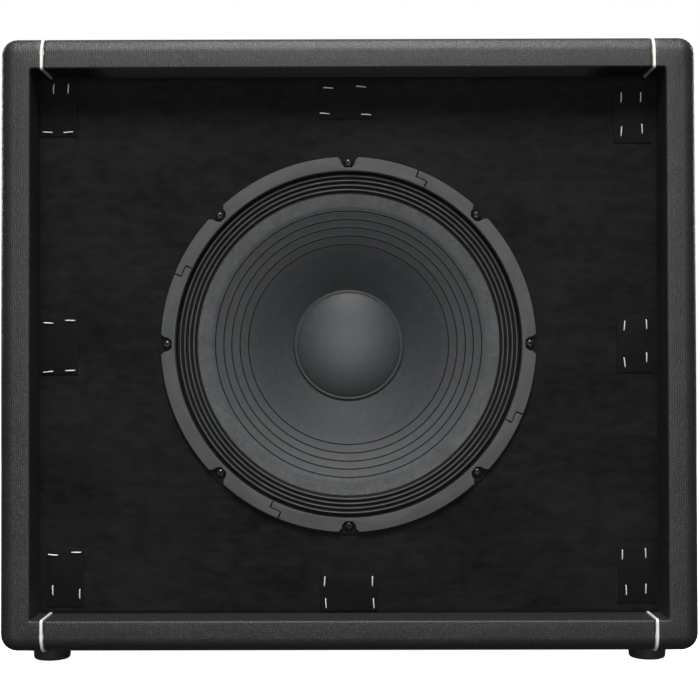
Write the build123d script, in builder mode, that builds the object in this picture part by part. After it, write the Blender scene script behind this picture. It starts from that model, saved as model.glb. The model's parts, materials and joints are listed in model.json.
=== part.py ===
from build123d import *

import os
from math import degrees, radians, tan

# A 1x12 guitar speaker cabinet, in millimetres. +X runs across the front, the front faces -Y and
# +Z is up. The origin is on the floor, under the middle of the cabinet.

# Cabinet
cabinet_width = 557.6
cabinet_height = 490.4
cabinet_depth = 290.0
panel_thickness = 24.0
covering_thickness = 0.8
edge_radius = 13.5
inner_edge_radius = 1.6
finger_count = 12

# Boards inside the cabinet
front_recess = 36.0
baffle_thickness = 18.0
baffle_hole_radius = 143.0
batten_size = 18.0
back_recess = 6.0
back_thickness = 15.0
back_gap = 0.4

# Trim
piping_offset = 244.0
piping_width = 2.6
piping_height = 2.0
piping_proud = 1.2
pad_thickness = 1.6
staple_wire = 1.2
staple_crown = 8.5
staple_leg = 9.0

# Feet
foot_height = 18.0
foot_top_radius = 16.2
foot_base_radius = 15.0
foot_inset_x = 28.1
foot_inset_y = 73.0

# Handle
cap_offset = 104.0
cap_size = (46.0, 34.0, 16.0)
strap_width = 25.0
strap_end = 119.0

# Speaker, measured from the face of the baffle along its axis
rim_radius = 154.8
bolt_circle_radius = 148.5
bolt_count = 8
bolt_radius = 2.4
bolt_hole_radius = 2.6
rim_thickness = 1.6
gasket_outer_radius = 153.2
gasket_inner_radius = 141.9
gasket_front = 5.2
joint_middle_radius = 147.5
joint_step = 9.4
joint_first_angle = 66.0
cone_lip_radius = 123.0
dust_cap_radius = 47.0
coil_radius = 26.0

# Input plate on the back panel
jack_height = 130.0
jack_plate_size = 92.0
dish_radius = 30.0
dish_depth = 18.8
jack_bore_radius = 3.2

# Places worked out from the sizes above
front = -cabinet_depth / 2
rear = cabinet_depth / 2
top = foot_height + cabinet_height
middle = foot_height + cabinet_height / 2
ply_width = cabinet_width - 2 * covering_thickness
ply_height = cabinet_height - 2 * covering_thickness
ply_depth = cabinet_depth - 2 * covering_thickness
inner_width = ply_width - 2 * panel_thickness
inner_height = ply_height - 2 * panel_thickness
opening_width = inner_width - 2 * covering_thickness
opening_height = inner_height - 2 * covering_thickness
baffle_front = front + front_recess
baffle_rear = baffle_front + baffle_thickness
back_outer = rear - back_recess
back_inner = back_outer - covering_thickness - back_thickness

LOWER = (Align.CENTER, Align.CENTER, Align.MIN)
UPPER = (Align.CENTER, Align.CENTER, Align.MAX)
FORWARD = (Align.CENTER, Align.MIN, Align.CENTER)

os.makedirs("parts", exist_ok=True)


def facing(y, x=0.0, z=middle):
    """A plane that looks forward, out of the cabinet's front. Its +X is the cabinet's, its +Y is up."""
    return Plane(origin=(x, y, z), x_dir=(1, 0, 0), z_dir=(0, -1, 0))


def section(y, x=0.0, z=middle):
    """A plane through an axis that runs back into the cabinet: +X is depth, +Y is the radius."""
    return Plane(origin=(x, y, z), x_dir=(0, 1, 0), z_dir=(1, 0, 0))


def save(shape, name):
    """Labels a finished shape and writes its file."""
    shape.label = name
    export_step(shape, f"parts/{name}.step")


# ---------------------------------------------------------------- cabinet shell

with BuildPart() as carcass:
    with Locations((0, 0, middle)):
        Box(ply_width, ply_depth, ply_height)
    fillet(carcass.edges(), edge_radius - covering_thickness)
    with BuildSketch(facing(rear)):
        Rectangle(inner_width, inner_height)
    extrude(amount=cabinet_depth, mode=Mode.SUBTRACT)
    end_faces = carcass.faces().sort_by(Axis.Y)
    rim_edges = end_faces[0].inner_wires()[0].edges() + end_faces[-1].inner_wires()[0].edges()
    fillet(rim_edges, inner_edge_radius - covering_thickness)

finger = ply_depth / finger_count
corner_x = (ply_width - panel_thickness) / 2
corner_z = (ply_height - panel_thickness) / 2


def finger_slots(side_panel):
    """Where the corner fingers of the other panels lie, as centres of boxes."""
    wanted = 1 if side_panel else 0
    rows = [-ply_depth / 2 + (k + 0.5) * finger for k in range(wanted, finger_count, 2)]
    corners = [(x, middle + z) for x in (-corner_x, corner_x) for z in (-corner_z, corner_z)]
    return [(x, y, z) for y in rows for x, z in corners]


def side_panel(direction):
    """A side of the carcass, with its half of the fingers at the top and bottom corners."""
    with BuildPart() as panel:
        add(carcass.part)
        with Locations((direction * corner_x, 0, middle)):
            Box(panel_thickness, ply_depth, ply_height, mode=Mode.INTERSECT)
        with Locations(finger_slots(side_panel=True)):
            Box(panel_thickness, finger, panel_thickness, mode=Mode.SUBTRACT)
    return panel.part


def level_panel(direction):
    """The top or the bottom of the carcass, with the other half of the fingers."""
    with BuildPart() as panel:
        add(carcass.part)
        with Locations((0, 0, middle + direction * corner_z)):
            Box(ply_width, ply_depth, panel_thickness, mode=Mode.INTERSECT)
        with Locations(finger_slots(side_panel=False)):
            Box(panel_thickness, finger, panel_thickness, mode=Mode.SUBTRACT)
    return panel.part


foot_x = cabinet_width / 2 - foot_inset_x
foot_y = cabinet_depth / 2 - foot_inset_y
foot_places = [(x, y, 0) for x in (-foot_x, foot_x) for y in (-foot_y, foot_y)]
foot_screw_radius = 2.4
foot_screw_top = foot_height + 20.0
cap_screw_radius = 2.4
cap_screw_bottom = top - 20.0
cap_places = [(-cap_offset, 0, top), (cap_offset, 0, top)]

with BuildPart() as bottom_panel:
    add(level_panel(-1))
    with Locations(*foot_places):
        Cylinder(foot_screw_radius, foot_screw_top, align=LOWER, mode=Mode.SUBTRACT)

with BuildPart() as top_panel:
    add(level_panel(1))
    with Locations(*cap_places):
        Cylinder(cap_screw_radius, top - cap_screw_bottom, align=UPPER, mode=Mode.SUBTRACT)

save(bottom_panel.part, "bottom_panel")
save(top_panel.part, "top_panel")
save(side_panel(-1), "left_side_panel")
save(side_panel(1), "right_side_panel")

# ---------------------------------------------------------------- covering and piping

with BuildPart() as covering:
    with Locations((0, 0, middle)):
        Box(cabinet_width, cabinet_depth, cabinet_height)
    fillet(covering.edges(), edge_radius)
    with BuildSketch(facing(rear)):
        Rectangle(opening_width, opening_height)
    extrude(amount=cabinet_depth, mode=Mode.SUBTRACT)
    end_faces = covering.faces().sort_by(Axis.Y)
    rim_edges = end_faces[0].inner_wires()[0].edges() + end_faces[-1].inner_wires()[0].edges()
    fillet(rim_edges, inner_edge_radius)
    with BuildSketch(facing(back_outer)):
        Rectangle(inner_width, inner_height)
    extrude(amount=back_outer - baffle_front, mode=Mode.SUBTRACT)
    add(carcass.part, mode=Mode.SUBTRACT)
    with Locations(*foot_places):
        Cylinder(foot_screw_radius, foot_screw_top, align=LOWER, mode=Mode.SUBTRACT)
    with Locations(*cap_places):
        Cylinder(cap_screw_radius, top - cap_screw_bottom, align=UPPER, mode=Mode.SUBTRACT)

seam = piping_offset + piping_width / 2
side_cover_width = cabinet_width / 2 - seam
level_cover_width = 2 * (piping_offset - piping_width / 2)


def cover(centre, size):
    """One sheet of the covering: what lies between two seams."""
    with BuildPart() as sheet:
        add(covering.part)
        with Locations(centre):
            Box(*size, mode=Mode.INTERSECT)
    return sheet.part


side_cover_size = (side_cover_width, cabinet_depth, cabinet_height)
level_cover_size = (level_cover_width, cabinet_depth, cabinet_height / 2)
side_cover_x = seam + side_cover_width / 2
save(cover((-side_cover_x, 0, middle), side_cover_size), "left_vinyl")
save(cover((side_cover_x, 0, middle), side_cover_size), "right_vinyl")
save(cover((0, 0, middle + cabinet_height / 4), level_cover_size), "top_vinyl")
save(cover((0, 0, middle - cabinet_height / 4), level_cover_size), "bottom_vinyl")


def piping(x, direction):
    """A bead in one seam: round the front edge, over the panel and round the rear edge."""
    outside = middle + direction * cabinet_height / 2
    inside = middle + direction * opening_height / 2
    route = [
        (x, baffle_front, inside),
        (x, front, inside),
        (x, front, outside),
        (x, rear, outside),
        (x, rear, inside),
        (x, back_outer, inside),
    ]
    bends = [inner_edge_radius, edge_radius, edge_radius, inner_edge_radius]
    lift = piping_proud - piping_height / 2
    with BuildPart() as bead:
        with BuildLine() as path:
            FilletPolyline(*route, radius=bends)
        with BuildSketch(Plane(origin=route[0], x_dir=(1, 0, 0), z_dir=(0, -1, 0))):
            with Locations((0, -direction * lift)):
                RectangleRounded(piping_width, piping_height, piping_height * 0.45)
        sweep(path=path.line)
        if direction < 0:
            with Locations(*foot_places):
                Cylinder(foot_screw_radius, foot_screw_top, align=LOWER, mode=Mode.SUBTRACT)
    return bead.part


for side_name, x in (("left", -piping_offset), ("right", piping_offset)):
    for level_name, direction in (("top", 1), ("bottom", -1)):
        save(piping(x, direction), f"piping_{level_name}_{side_name}")

# ---------------------------------------------------------------- boards, battens and their screws

screw_radius = 2.0
batten_line_x = (inner_width - batten_size) / 2
batten_line_z = (inner_height - batten_size) / 2
board_screw_places = [(x, z) for x in (-180, 0, 180) for z in (-batten_line_z, batten_line_z)]
board_screw_places += [(x, z) for x in (-batten_line_x, batten_line_x) for z in (-150, 0, 150)]
board_screw_length = 30.0


def batten(rear_face, x, z, width, height):
    """One strip of the frame inside the carcass, with the holes of the screws that go through it."""
    with BuildPart() as strip:
        with BuildSketch(facing(rear_face)):
            with Locations(*board_screw_places):
                Circle(screw_radius)
        extrude(amount=batten_size)
        holes = strip.part
    with BuildPart() as drilled:
        with BuildSketch(facing(rear_face, x, middle + z)):
            Rectangle(width, height)
        extrude(amount=batten_size)
        add(holes, mode=Mode.SUBTRACT)
    return drilled.solid()


def battens(rear_face):
    """Four strips round the inside of the carcass: two level ones, and two upright ones between them."""
    upright = inner_height - 2 * batten_size
    strips = [batten(rear_face, 0, z, inner_width, batten_size) for z in (-batten_line_z, batten_line_z)]
    strips += [batten(rear_face, x, 0, batten_size, upright) for x in (-batten_line_x, batten_line_x)]
    return Compound(children=strips)


save(battens(baffle_rear + batten_size), "front_battens")
save(battens(back_inner), "rear_battens")

tee_nut_barrel_radius = 3.8
tee_nut_barrel_length = 10.0

with BuildPart() as baffle_board:
    with BuildSketch(facing(baffle_rear)):
        Rectangle(inner_width, inner_height)
        Circle(baffle_hole_radius, mode=Mode.SUBTRACT)
        with PolarLocations(bolt_circle_radius, bolt_count, start_angle=90):
            Circle(bolt_hole_radius, mode=Mode.SUBTRACT)
    extrude(amount=baffle_thickness)
    with BuildSketch(facing(baffle_rear)):
        with PolarLocations(bolt_circle_radius, bolt_count, start_angle=90):
            Circle(tee_nut_barrel_radius)
    extrude(amount=tee_nut_barrel_length, mode=Mode.SUBTRACT)
    with BuildSketch(facing(baffle_rear)):
        with Locations(*board_screw_places):
            Circle(screw_radius)
    extrude(amount=board_screw_length - batten_size, mode=Mode.SUBTRACT)
save(baffle_board.part, "baffle_board")

back_width = inner_width - 2 * back_gap
back_height = inner_height - 2 * back_gap
jack_screw_spacing = 76.0
jack_screw_radius = 1.6

with BuildPart() as back_panel:
    with BuildSketch(facing(back_outer - covering_thickness)):
        Rectangle(back_width - 2 * covering_thickness, back_height - 2 * covering_thickness)
        with Locations(*board_screw_places):
            Circle(screw_radius, mode=Mode.SUBTRACT)
        with Locations((0, jack_height - middle)):
            Circle(dish_radius + 3, mode=Mode.SUBTRACT)
            with GridLocations(jack_screw_spacing, jack_screw_spacing, 2, 2):
                Circle(jack_screw_radius, mode=Mode.SUBTRACT)
    extrude(amount=back_thickness)
save(back_panel.part, "back_panel")

with BuildPart() as back_panel_vinyl:
    with BuildSketch(facing(back_outer)):
        Rectangle(back_width, back_height)
    extrude(amount=back_thickness + covering_thickness)
    with BuildSketch(facing(back_outer - covering_thickness)):
        Rectangle(back_width - 2 * covering_thickness, back_height - 2 * covering_thickness)
    extrude(amount=back_thickness, mode=Mode.SUBTRACT)
    with BuildSketch(facing(back_outer)):
        with Locations(*board_screw_places):
            Circle(screw_radius)
        with Locations((0, jack_height - middle)):
            Circle(dish_radius + 3)
            with GridLocations(jack_screw_spacing, jack_screw_spacing, 2, 2):
                Circle(jack_screw_radius)
    extrude(amount=covering_thickness, mode=Mode.SUBTRACT)
save(back_panel_vinyl.part, "back_panel_vinyl")

washer_radius = 8.0
washer_height = 1.8
head_radius = 4.6
head_height = 2.6

with BuildPart(facing(back_outer)) as back_panel_cup_washers:
    with Locations(*board_screw_places):
        Cone(washer_radius - 2, washer_radius, washer_height, align=UPPER)
        Cylinder(screw_radius, washer_height, align=UPPER, mode=Mode.SUBTRACT)
save(back_panel_cup_washers.part, "back_panel_cup_washers")


def wood_screws(seat, length, places):
    """Dome-headed wood screws driven forward from a seat on a back face."""
    with BuildPart(facing(seat)) as screws:
        with Locations(*places):
            Cylinder(screw_radius, length, align=LOWER)
            Cone(head_radius - 1.6, head_radius, head_height, align=UPPER)
            with Locations((0, 0, -head_height)):
                Box(5, 1.2, 2.8, mode=Mode.SUBTRACT)
                Box(1.2, 5, 2.8, mode=Mode.SUBTRACT)
    return screws.part


save(wood_screws(baffle_rear + batten_size, board_screw_length, board_screw_places), "baffle_screws")
save(
    wood_screws(back_outer + washer_height, board_screw_length + washer_height, board_screw_places),
    "back_panel_screws",
)

# ---------------------------------------------------------------- grille pads and staples

pad_long = 47.0
pad_short = 30.5

# x and z of each pad's centre from the middle of the cabinet, whether it stands upright, and its
# staples: x and z from the pad's centre, and whether the staple is upright.
grille_pad_layout = [
    ((-237.5, 194.5), True, [(-4, 16, True), (8, 16, True), (-9, -20, False), (8, -20, False)]),
    ((-1.2, 200.4), False, [(-15, 10, False), (12, 11, False), (-18, -11, False), (16, -12, False)]),
    ((233, 188), True, [(-9, 14, True), (7, 14, True), (-9, -14, True), (8, -12, True)]),
    ((-237, -1), True, [(-9, 19, False), (9, 21, False), (-9, -21, False), (9, -20, False)]),
    ((234.7, -0.4), True, [(-9, 15, True), (9, 16, True), (-9, -15, True), (9, -11, True)]),
    ((-232, -190.5), True, [(-10, 19, False), (9, 21, False), (-10, -10, True), (12, -13, True)]),
    ((0, -202.7), False, [(-20, 9, True), (-19, -9, True), (19, 9, True), (20, -9, True)]),
    ((235, -188.3), True, [(-12, 16, True), (7, 17, True), (-9, -13, True), (7, -12, True)]),
]

with BuildPart(facing(baffle_front)) as grille_pads:
    for centre, upright, _ in grille_pad_layout:
        turn = 90 if upright else 0
        with Locations(Location((*centre, 0), (0, 0, turn))):
            Box(pad_long, pad_short, pad_thickness, align=LOWER)
save(grille_pads.part, "grille_pads")


def add_staple(upright):
    """A crown that lies on the pad, with two legs that go through it into the baffle."""
    turn = 90 if upright else 0
    leg_offset = (staple_crown - staple_wire) / 2
    with Locations(Location((0, 0, 0), (0, 0, turn))):
        Box(staple_crown, staple_wire, staple_wire, align=LOWER)
        with Locations((-leg_offset, 0, 0), (leg_offset, 0, 0)):
            Box(staple_wire, staple_wire, staple_leg, align=UPPER)


with BuildPart(facing(baffle_front - pad_thickness)) as pad_staples:
    for centre, _, staples in grille_pad_layout:
        for x, z, staple_upright in staples:
            with Locations((centre[0] + x, centre[1] + z)):
                add_staple(staple_upright)
save(pad_staples.part, "pad_staples")

# ---------------------------------------------------------------- feet

foot_recess_radius = 8.0
foot_recess_height = 11.0
foot_washer_thickness = 1.2
foot_head_height = 3.4

with BuildPart() as one_foot:
    with BuildSketch(Plane.XZ):
        with BuildLine():
            FilletPolyline(
                (foot_recess_radius, 0),
                (foot_base_radius, 0),
                (foot_top_radius, foot_height),
                (foot_screw_radius, foot_height),
                (foot_screw_radius, foot_recess_height),
                (foot_recess_radius, foot_recess_height),
                radius=[0.6, 2.2, 1.0, 0, 0, 0.6],
                close=True,
            )
        make_face()
    revolve(axis=Axis.Z)

# The beads of the covering's lower seams pass over the feet, in a groove across each foot's top.
with BuildPart() as rubber_feet:
    with Locations(*foot_places):
        add(one_foot.part)
    with Locations((-piping_offset, 0, foot_height), (piping_offset, 0, foot_height)):
        Box(piping_width + 0.2, cabinet_depth, 2 * piping_proud + 0.2, mode=Mode.SUBTRACT)
save(rubber_feet.part, "rubber_feet")

with BuildPart() as foot_washers:
    with Locations(*[(x, y, foot_recess_height) for x, y, z in foot_places]):
        Cylinder(foot_recess_radius - 1, foot_washer_thickness, align=UPPER)
        Cylinder(foot_screw_radius, foot_washer_thickness, align=UPPER, mode=Mode.SUBTRACT)
save(foot_washers.part, "foot_washers")

foot_head_radius = 4.8
foot_head_seat = foot_recess_height - foot_washer_thickness
with BuildPart() as foot_screws:
    with Locations(*[(x, y, foot_head_seat) for x, y, z in foot_places]):
        Cylinder(foot_screw_radius, foot_screw_top - foot_head_seat, align=LOWER)
        Cylinder(foot_head_radius, foot_head_height, align=UPPER)
        with Locations((0, 0, -foot_head_height)):
            Box(5, 1.2, 3.6, mode=Mode.SUBTRACT)
            Box(1.2, 5, 3.6, mode=Mode.SUBTRACT)
save(foot_screws.part, "foot_screws")

# ---------------------------------------------------------------- strap handle

cap_pocket = (40.0, 28.0, 9.0)
strap_tongue_low = 1.0
strap_tongue_high = 4.5
strap_shoulder = 86.0
strap_low_middle = 9.5
strap_high_middle = 17.5
strap_slot = (102.0, 111.5)
strap_slot_radius = 3.2
cap_head_radius = 5.0
cap_head_height = 2.4


def handle_cap(direction):
    """A moulded cover over one end of the strap, open underneath and towards the middle."""
    length, width, height = cap_size
    with BuildPart() as cap:
        with Locations((direction * cap_offset, 0, top)):
            Box(length, width, height, align=LOWER)
        upright_edges = cap.edges().filter_by(Axis.Z)
        fillet(upright_edges, 8)
        fillet(cap.faces().sort_by(Axis.Z)[-1].edges(), 4)
        inner_end = direction * (cap_offset - length / 2)
        with Locations((inner_end + direction * cap_pocket[0] / 2, 0, top)):
            Box(*cap_pocket, align=LOWER, mode=Mode.SUBTRACT)
        with Locations((direction * cap_offset, 0, top)):
            Cylinder(cap_screw_radius, height, align=LOWER, mode=Mode.SUBTRACT)
    return cap.part


save(handle_cap(-1), "handle_cap_left")
save(handle_cap(1), "handle_cap_right")

with BuildPart() as handle_strap:
    with BuildSketch(Plane(origin=(0, 0, top), x_dir=(1, 0, 0), z_dir=(0, -1, 0))):
        with BuildLine():
            Polyline(
                (-strap_shoulder, strap_tongue_low),
                (-strap_end, strap_tongue_low),
                (-strap_end, strap_tongue_high),
                (-strap_shoulder, strap_tongue_high),
            )
            ThreePointArc(
                (-strap_shoulder, strap_tongue_high),
                (0, strap_high_middle),
                (strap_shoulder, strap_tongue_high),
            )
            Polyline(
                (strap_shoulder, strap_tongue_high),
                (strap_end, strap_tongue_high),
                (strap_end, strap_tongue_low),
                (strap_shoulder, strap_tongue_low),
            )
            ThreePointArc(
                (strap_shoulder, strap_tongue_low),
                (0, strap_low_middle),
                (-strap_shoulder, strap_tongue_low),
            )
        make_face()
    extrude(amount=strap_width / 2, both=True)
    slot_length = strap_slot[1] - strap_slot[0] + 2 * strap_slot_radius
    slot_middle = (strap_slot[0] + strap_slot[1]) / 2
    with BuildSketch(Plane.XY.offset(top)):
        with Locations((-slot_middle, 0), (slot_middle, 0)):
            SlotOverall(slot_length, 2 * strap_slot_radius)
    extrude(amount=strap_high_middle, mode=Mode.SUBTRACT)
save(handle_strap.part, "handle_strap")

with BuildPart() as handle_screws:
    with Locations(*[(x, y, top + cap_size[2]) for x, y, z in cap_places]):
        Cylinder(cap_screw_radius, top + cap_size[2] - cap_screw_bottom, align=UPPER)
        Cylinder(cap_head_radius, cap_head_height, align=LOWER)
        with Locations((0, 0, cap_head_height)):
            Box(5, 1.2, 2.6, mode=Mode.SUBTRACT)
            Box(1.2, 5, 2.6, mode=Mode.SUBTRACT)
save(handle_screws.part, "handle_screws")

# ---------------------------------------------------------------- speaker, fixed pieces

speaker_section = section(baffle_front)
speaker_axis = Axis((0, baffle_front, middle), (0, 1, 0))


def turned(*outline):
    """A ring or disc turned about the speaker's axis from an outline of depth and radius."""
    with BuildPart() as piece:
        with BuildSketch(speaker_section):
            with BuildLine():
                Polyline(*outline, close=True)
            make_face()
        revolve(axis=speaker_axis)
    return piece.part


wall_inner_radius = 141.0
wall_outer_radius = 142.2
landing_depth = 61.5
basket_floor = 79.0
rib_width = 22.0
window_outer_radius = 128.0
window_inner_radius = 78.0
window_count = 8
window_front = 17.5
window_rear = 61.0

with BuildPart() as speaker_frame:
    add(
        turned(
            (-rim_thickness, wall_inner_radius),
            (-rim_thickness, rim_radius),
            (0, rim_radius),
            (0, wall_outer_radius),
            (16.4, wall_outer_radius),
            (16.4, 134.0),
            (62.9, 72.0),
            (62.9, 60.0),
            (basket_floor, 60.0),
            (basket_floor, 33.0),
            (basket_floor - 1.4, 33.0),
            (basket_floor - 1.4, 58.6),
            (landing_depth, 58.6),
            (landing_depth, 71.3),
            (15.0, 133.0),
            (15.0, wall_inner_radius),
        )
    )
    with BuildSketch(facing(baffle_front + window_rear)) as windows:
        Circle(window_outer_radius)
        Circle(window_inner_radius, mode=Mode.SUBTRACT)
        rib_middle = (window_outer_radius + window_inner_radius) / 2
        with PolarLocations(rib_middle, window_count):
            Rectangle(2 * window_inner_radius, rib_width, mode=Mode.SUBTRACT)
        fillet(windows.vertices(), 4)
    extrude(amount=window_rear - window_front, mode=Mode.SUBTRACT)
    with BuildSketch(facing(baffle_front)):
        with PolarLocations(bolt_circle_radius, bolt_count, start_angle=90):
            Circle(bolt_hole_radius)
    extrude(amount=rim_thickness, mode=Mode.SUBTRACT)
save(speaker_frame.part, "speaker_frame")

notch_outline = [(-8.6, 154.5), (-5.9, 150.2), (-5.4, 147.4), (-3.0, 144.5)]
surround_seat_radius = 144.5
surround_thickness = 0.6

with BuildSketch() as notch:
    with BuildLine():
        FilletPolyline(
            *notch_outline,
            *[(-x, r) for x, r in reversed(notch_outline)],
            radius=[0, 2.0, 1.0, 1.0, 1.0, 1.0, 2.0, 0],
            close=True,
        )
    make_face()

with BuildPart() as gasket_segments:
    add(
        turned(
            (-gasket_front, gasket_inner_radius),
            (-gasket_front, gasket_outer_radius),
            (-rim_thickness, gasket_outer_radius),
            (-rim_thickness, surround_seat_radius),
            (-rim_thickness - surround_thickness, surround_seat_radius),
            (-rim_thickness - surround_thickness, gasket_inner_radius),
        )
    )
    outer_ring = gasket_segments.faces().sort_by(Axis.Y)[0].edges()
    fillet(outer_ring, 0.5)
    with BuildSketch(facing(baffle_front)) as gasket_cuts:
        with PolarLocations(0, bolt_count):
            add(notch.sketch)
        step_angle = degrees(joint_step / joint_middle_radius)
        radial_cut = 8.0
        with PolarLocations(joint_middle_radius + radial_cut / 2, 4, joint_first_angle + step_angle / 2):
            Rectangle(radial_cut, 1.0)
        with PolarLocations(joint_middle_radius - radial_cut / 2, 4, joint_first_angle - step_angle / 2):
            Rectangle(radial_cut, 1.0)
        with PolarLocations(joint_middle_radius, 4, joint_first_angle):
            Rectangle(0.6, joint_step + 1.0)
    extrude(amount=gasket_front + 1, mode=Mode.SUBTRACT)
save(gasket_segments.part, "gasket_segments")

bolt_head_radius = 3.6
bolt_head_height = 2.6

with BuildPart(facing(baffle_front - rim_thickness)) as speaker_screws:
    with PolarLocations(bolt_circle_radius, bolt_count, start_angle=90):
        Cylinder(bolt_radius, baffle_thickness + rim_thickness + 6, align=UPPER)
        Cylinder(bolt_head_radius, bolt_head_height, align=LOWER)
        with Locations((0, 0, bolt_head_height)):
            Box(4.4, 1.0, 3.0, mode=Mode.SUBTRACT)
            Box(1.0, 4.4, 3.0, mode=Mode.SUBTRACT)
    round_edges = speaker_screws.edges().filter_by(GeomType.CIRCLE)
    head_edges = round_edges.filter_by(lambda edge: abs(edge.radius - bolt_head_radius) < 0.01)
    fillet(head_edges.group_by(Axis.Y)[0], 1.2)
save(speaker_screws.part, "speaker_screws")

with BuildPart(facing(baffle_rear)) as tee_nuts:
    with PolarLocations(bolt_circle_radius, bolt_count, start_angle=90):
        Cylinder(tee_nut_barrel_radius, tee_nut_barrel_length, align=LOWER)
        Cylinder(9.0, 1.5, align=UPPER)
        with Locations((0, 0, -1.5)):
            Cylinder(bolt_radius, tee_nut_barrel_length + 1.5, align=LOWER, mode=Mode.SUBTRACT)
save(tee_nuts.part, "tee_nuts")

plate_front = basket_floor
plate_rear = plate_front + 8.0
magnet_rear = plate_rear + 20.0
yoke_rear = magnet_rear + 8.0


def ring(face, back, inner, outer):
    """A plain ring about the speaker's axis, between two depths and two radii."""
    return turned((face, inner), (face, outer), (back, outer), (back, inner))


save(ring(plate_front, plate_rear, 28.0, 64.0), "front_plate")
save(ring(plate_rear, magnet_rear, 44.0, 78.0), "magnet")

pole_radius = 24.9
vent_radius = 8.0
save(
    turned(
        (plate_front - 2, vent_radius),
        (plate_front - 2, pole_radius),
        (magnet_rear, pole_radius),
        (magnet_rear, 66.0),
        (yoke_rear, 66.0),
        (yoke_rear, vent_radius),
    ),
    "pole_and_back_plate",
)

# ---------------------------------------------------------------- speaker, flexing and moving pieces

roll_pitch = 3.75
roll_count = 4
roll_front = -1.4
roll_rear = 1.0
first_ridge = 137.9


def corrugated(centre_line, thickness, bend):
    """A thin disc whose centre line, of depth and radius, is rounded at each of its bends."""
    half = thickness / 2
    front_line = [(depth - half, radius) for depth, radius in centre_line]
    rear_line = [(depth + half, radius) for depth, radius in reversed(centre_line)]
    inner_bends = [bend] * (len(centre_line) - 2)
    with BuildPart() as disc:
        with BuildSketch(speaker_section):
            with BuildLine():
                FilletPolyline(
                    *front_line,
                    *rear_line,
                    radius=[0, *inner_bends, 0, 0, *inner_bends, 0],
                    close=True,
                )
            make_face()
        revolve(axis=speaker_axis)
    return disc.part


seat_depth = -rim_thickness - surround_thickness / 2
surround_line = [(seat_depth, 144.4), (seat_depth, 140.5), (roll_rear + 0.4, 139.5)]
for roll in range(roll_count):
    ridge = first_ridge - roll * roll_pitch
    surround_line += [(roll_front, ridge), (roll_rear, ridge - roll_pitch / 2)]
surround_line.append((0.9, cone_lip_radius + 0.4))
save(corrugated(surround_line, surround_thickness, 0.7), "surround")

spider_line = [(landing_depth - 0.3, 70.0), (landing_depth - 0.3, 58.0)]
for wave in range(5):
    spider_line += [(60.2, 54.5 - 5 * wave), (62.2, 52.0 - 5 * wave)]
spider_line.append((61.0, coil_radius + 0.35))
save(corrugated(spider_line, 0.5, 0.8), "spider")

lip_depth = 0.6
cone_outer = (2.0, 112.8)
cone_half_way = (24.0, 72.0)
cone_neck = (56.0, coil_radius + 0.2)
paper = 1.0


def behind(point):
    """The same point on the back of the paper."""
    return (point[0] + paper, point[1])


with BuildPart() as cone:
    with BuildSketch(speaker_section):
        with BuildLine():
            Line((lip_depth, cone_lip_radius), cone_outer)
            ThreePointArc(cone_outer, cone_half_way, cone_neck)
            Line(cone_neck, behind(cone_neck))
            ThreePointArc(behind(cone_neck), behind(cone_half_way), behind(cone_outer))
            Line(behind(cone_outer), (lip_depth + paper, cone_lip_radius))
            Line((lip_depth + paper, cone_lip_radius), (lip_depth, cone_lip_radius))
        make_face()
    revolve(axis=speaker_axis)
save(cone.part, "cone")

cap_edge_depth = 39.6
cap_rise = 13.2
cap_sphere = (dust_cap_radius**2 + cap_rise**2) / (2 * cap_rise)
cap_half_radius = dust_cap_radius / 2
cap_half_depth = cap_edge_depth - cap_rise + cap_sphere - (cap_sphere**2 - cap_half_radius**2) ** 0.5
cap_shell = 0.7

with BuildPart() as dust_cap:
    with BuildSketch(speaker_section):
        with BuildLine():
            ThreePointArc(
                (cap_edge_depth, dust_cap_radius),
                (cap_half_depth, cap_half_radius),
                (cap_edge_depth - cap_rise, 0),
            )
            Line((cap_edge_depth - cap_rise, 0), (cap_edge_depth - cap_rise + cap_shell, 0))
            ThreePointArc(
                (cap_edge_depth - cap_rise + cap_shell, 0),
                (cap_half_depth + cap_shell, cap_half_radius),
                (cap_edge_depth + cap_shell, dust_cap_radius),
            )
            Line((cap_edge_depth + cap_shell, dust_cap_radius), (cap_edge_depth, dust_cap_radius))
        make_face()
    revolve(axis=speaker_axis)
save(dust_cap.part, "dust_cap")

former_front = 55.0
former_rear = plate_rear + 6.0
winding_front = plate_front - 2.0
former_film = 0.4
winding_build = 1.3
save(ring(former_front, former_rear, coil_radius - former_film, coil_radius), "coil_former")
save(ring(winding_front, former_rear, coil_radius, coil_radius + winding_build), "coil_winding")

# ---------------------------------------------------------------- terminals and leads

# The board lies on the outside of the basket's lowest rib, square to the sloping wall.
board_plane = Plane(origin=(0, baffle_front + 40, middle - 102.6), x_dir=(1, 0, 0), z_dir=(0, 0.8, -0.6))
board_thickness = 2.5
tab_offset = 16.0
tab_width = 6.3
tab_length = 30.0
tab_thickness = 0.8
connector_length = 14.0
connector_grip = 5.0
tab_plane = board_plane.offset(board_thickness)
tab_middle_plane = board_plane.offset(board_thickness + tab_thickness / 2)

with BuildPart(board_plane) as terminal_board:
    Box(46, 20, board_thickness, align=LOWER)
save(terminal_board.part, "terminal_board")

with BuildPart(tab_plane) as solder_tabs:
    with Locations((-tab_offset, 0), (tab_offset, 0)):
        Box(tab_width, tab_length, tab_thickness, align=LOWER)
save(solder_tabs.part, "solder_tabs")

connector_start = tab_length / 2 - connector_grip
with BuildPart(tab_middle_plane) as lead_connectors:
    with Locations((-tab_offset, connector_start), (tab_offset, connector_start)):
        Box(8, connector_length, 3.6, align=FORWARD)
        Box(tab_width, connector_grip, tab_thickness, align=FORWARD, mode=Mode.SUBTRACT)
save(lead_connectors.part, "lead_connectors")


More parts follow.
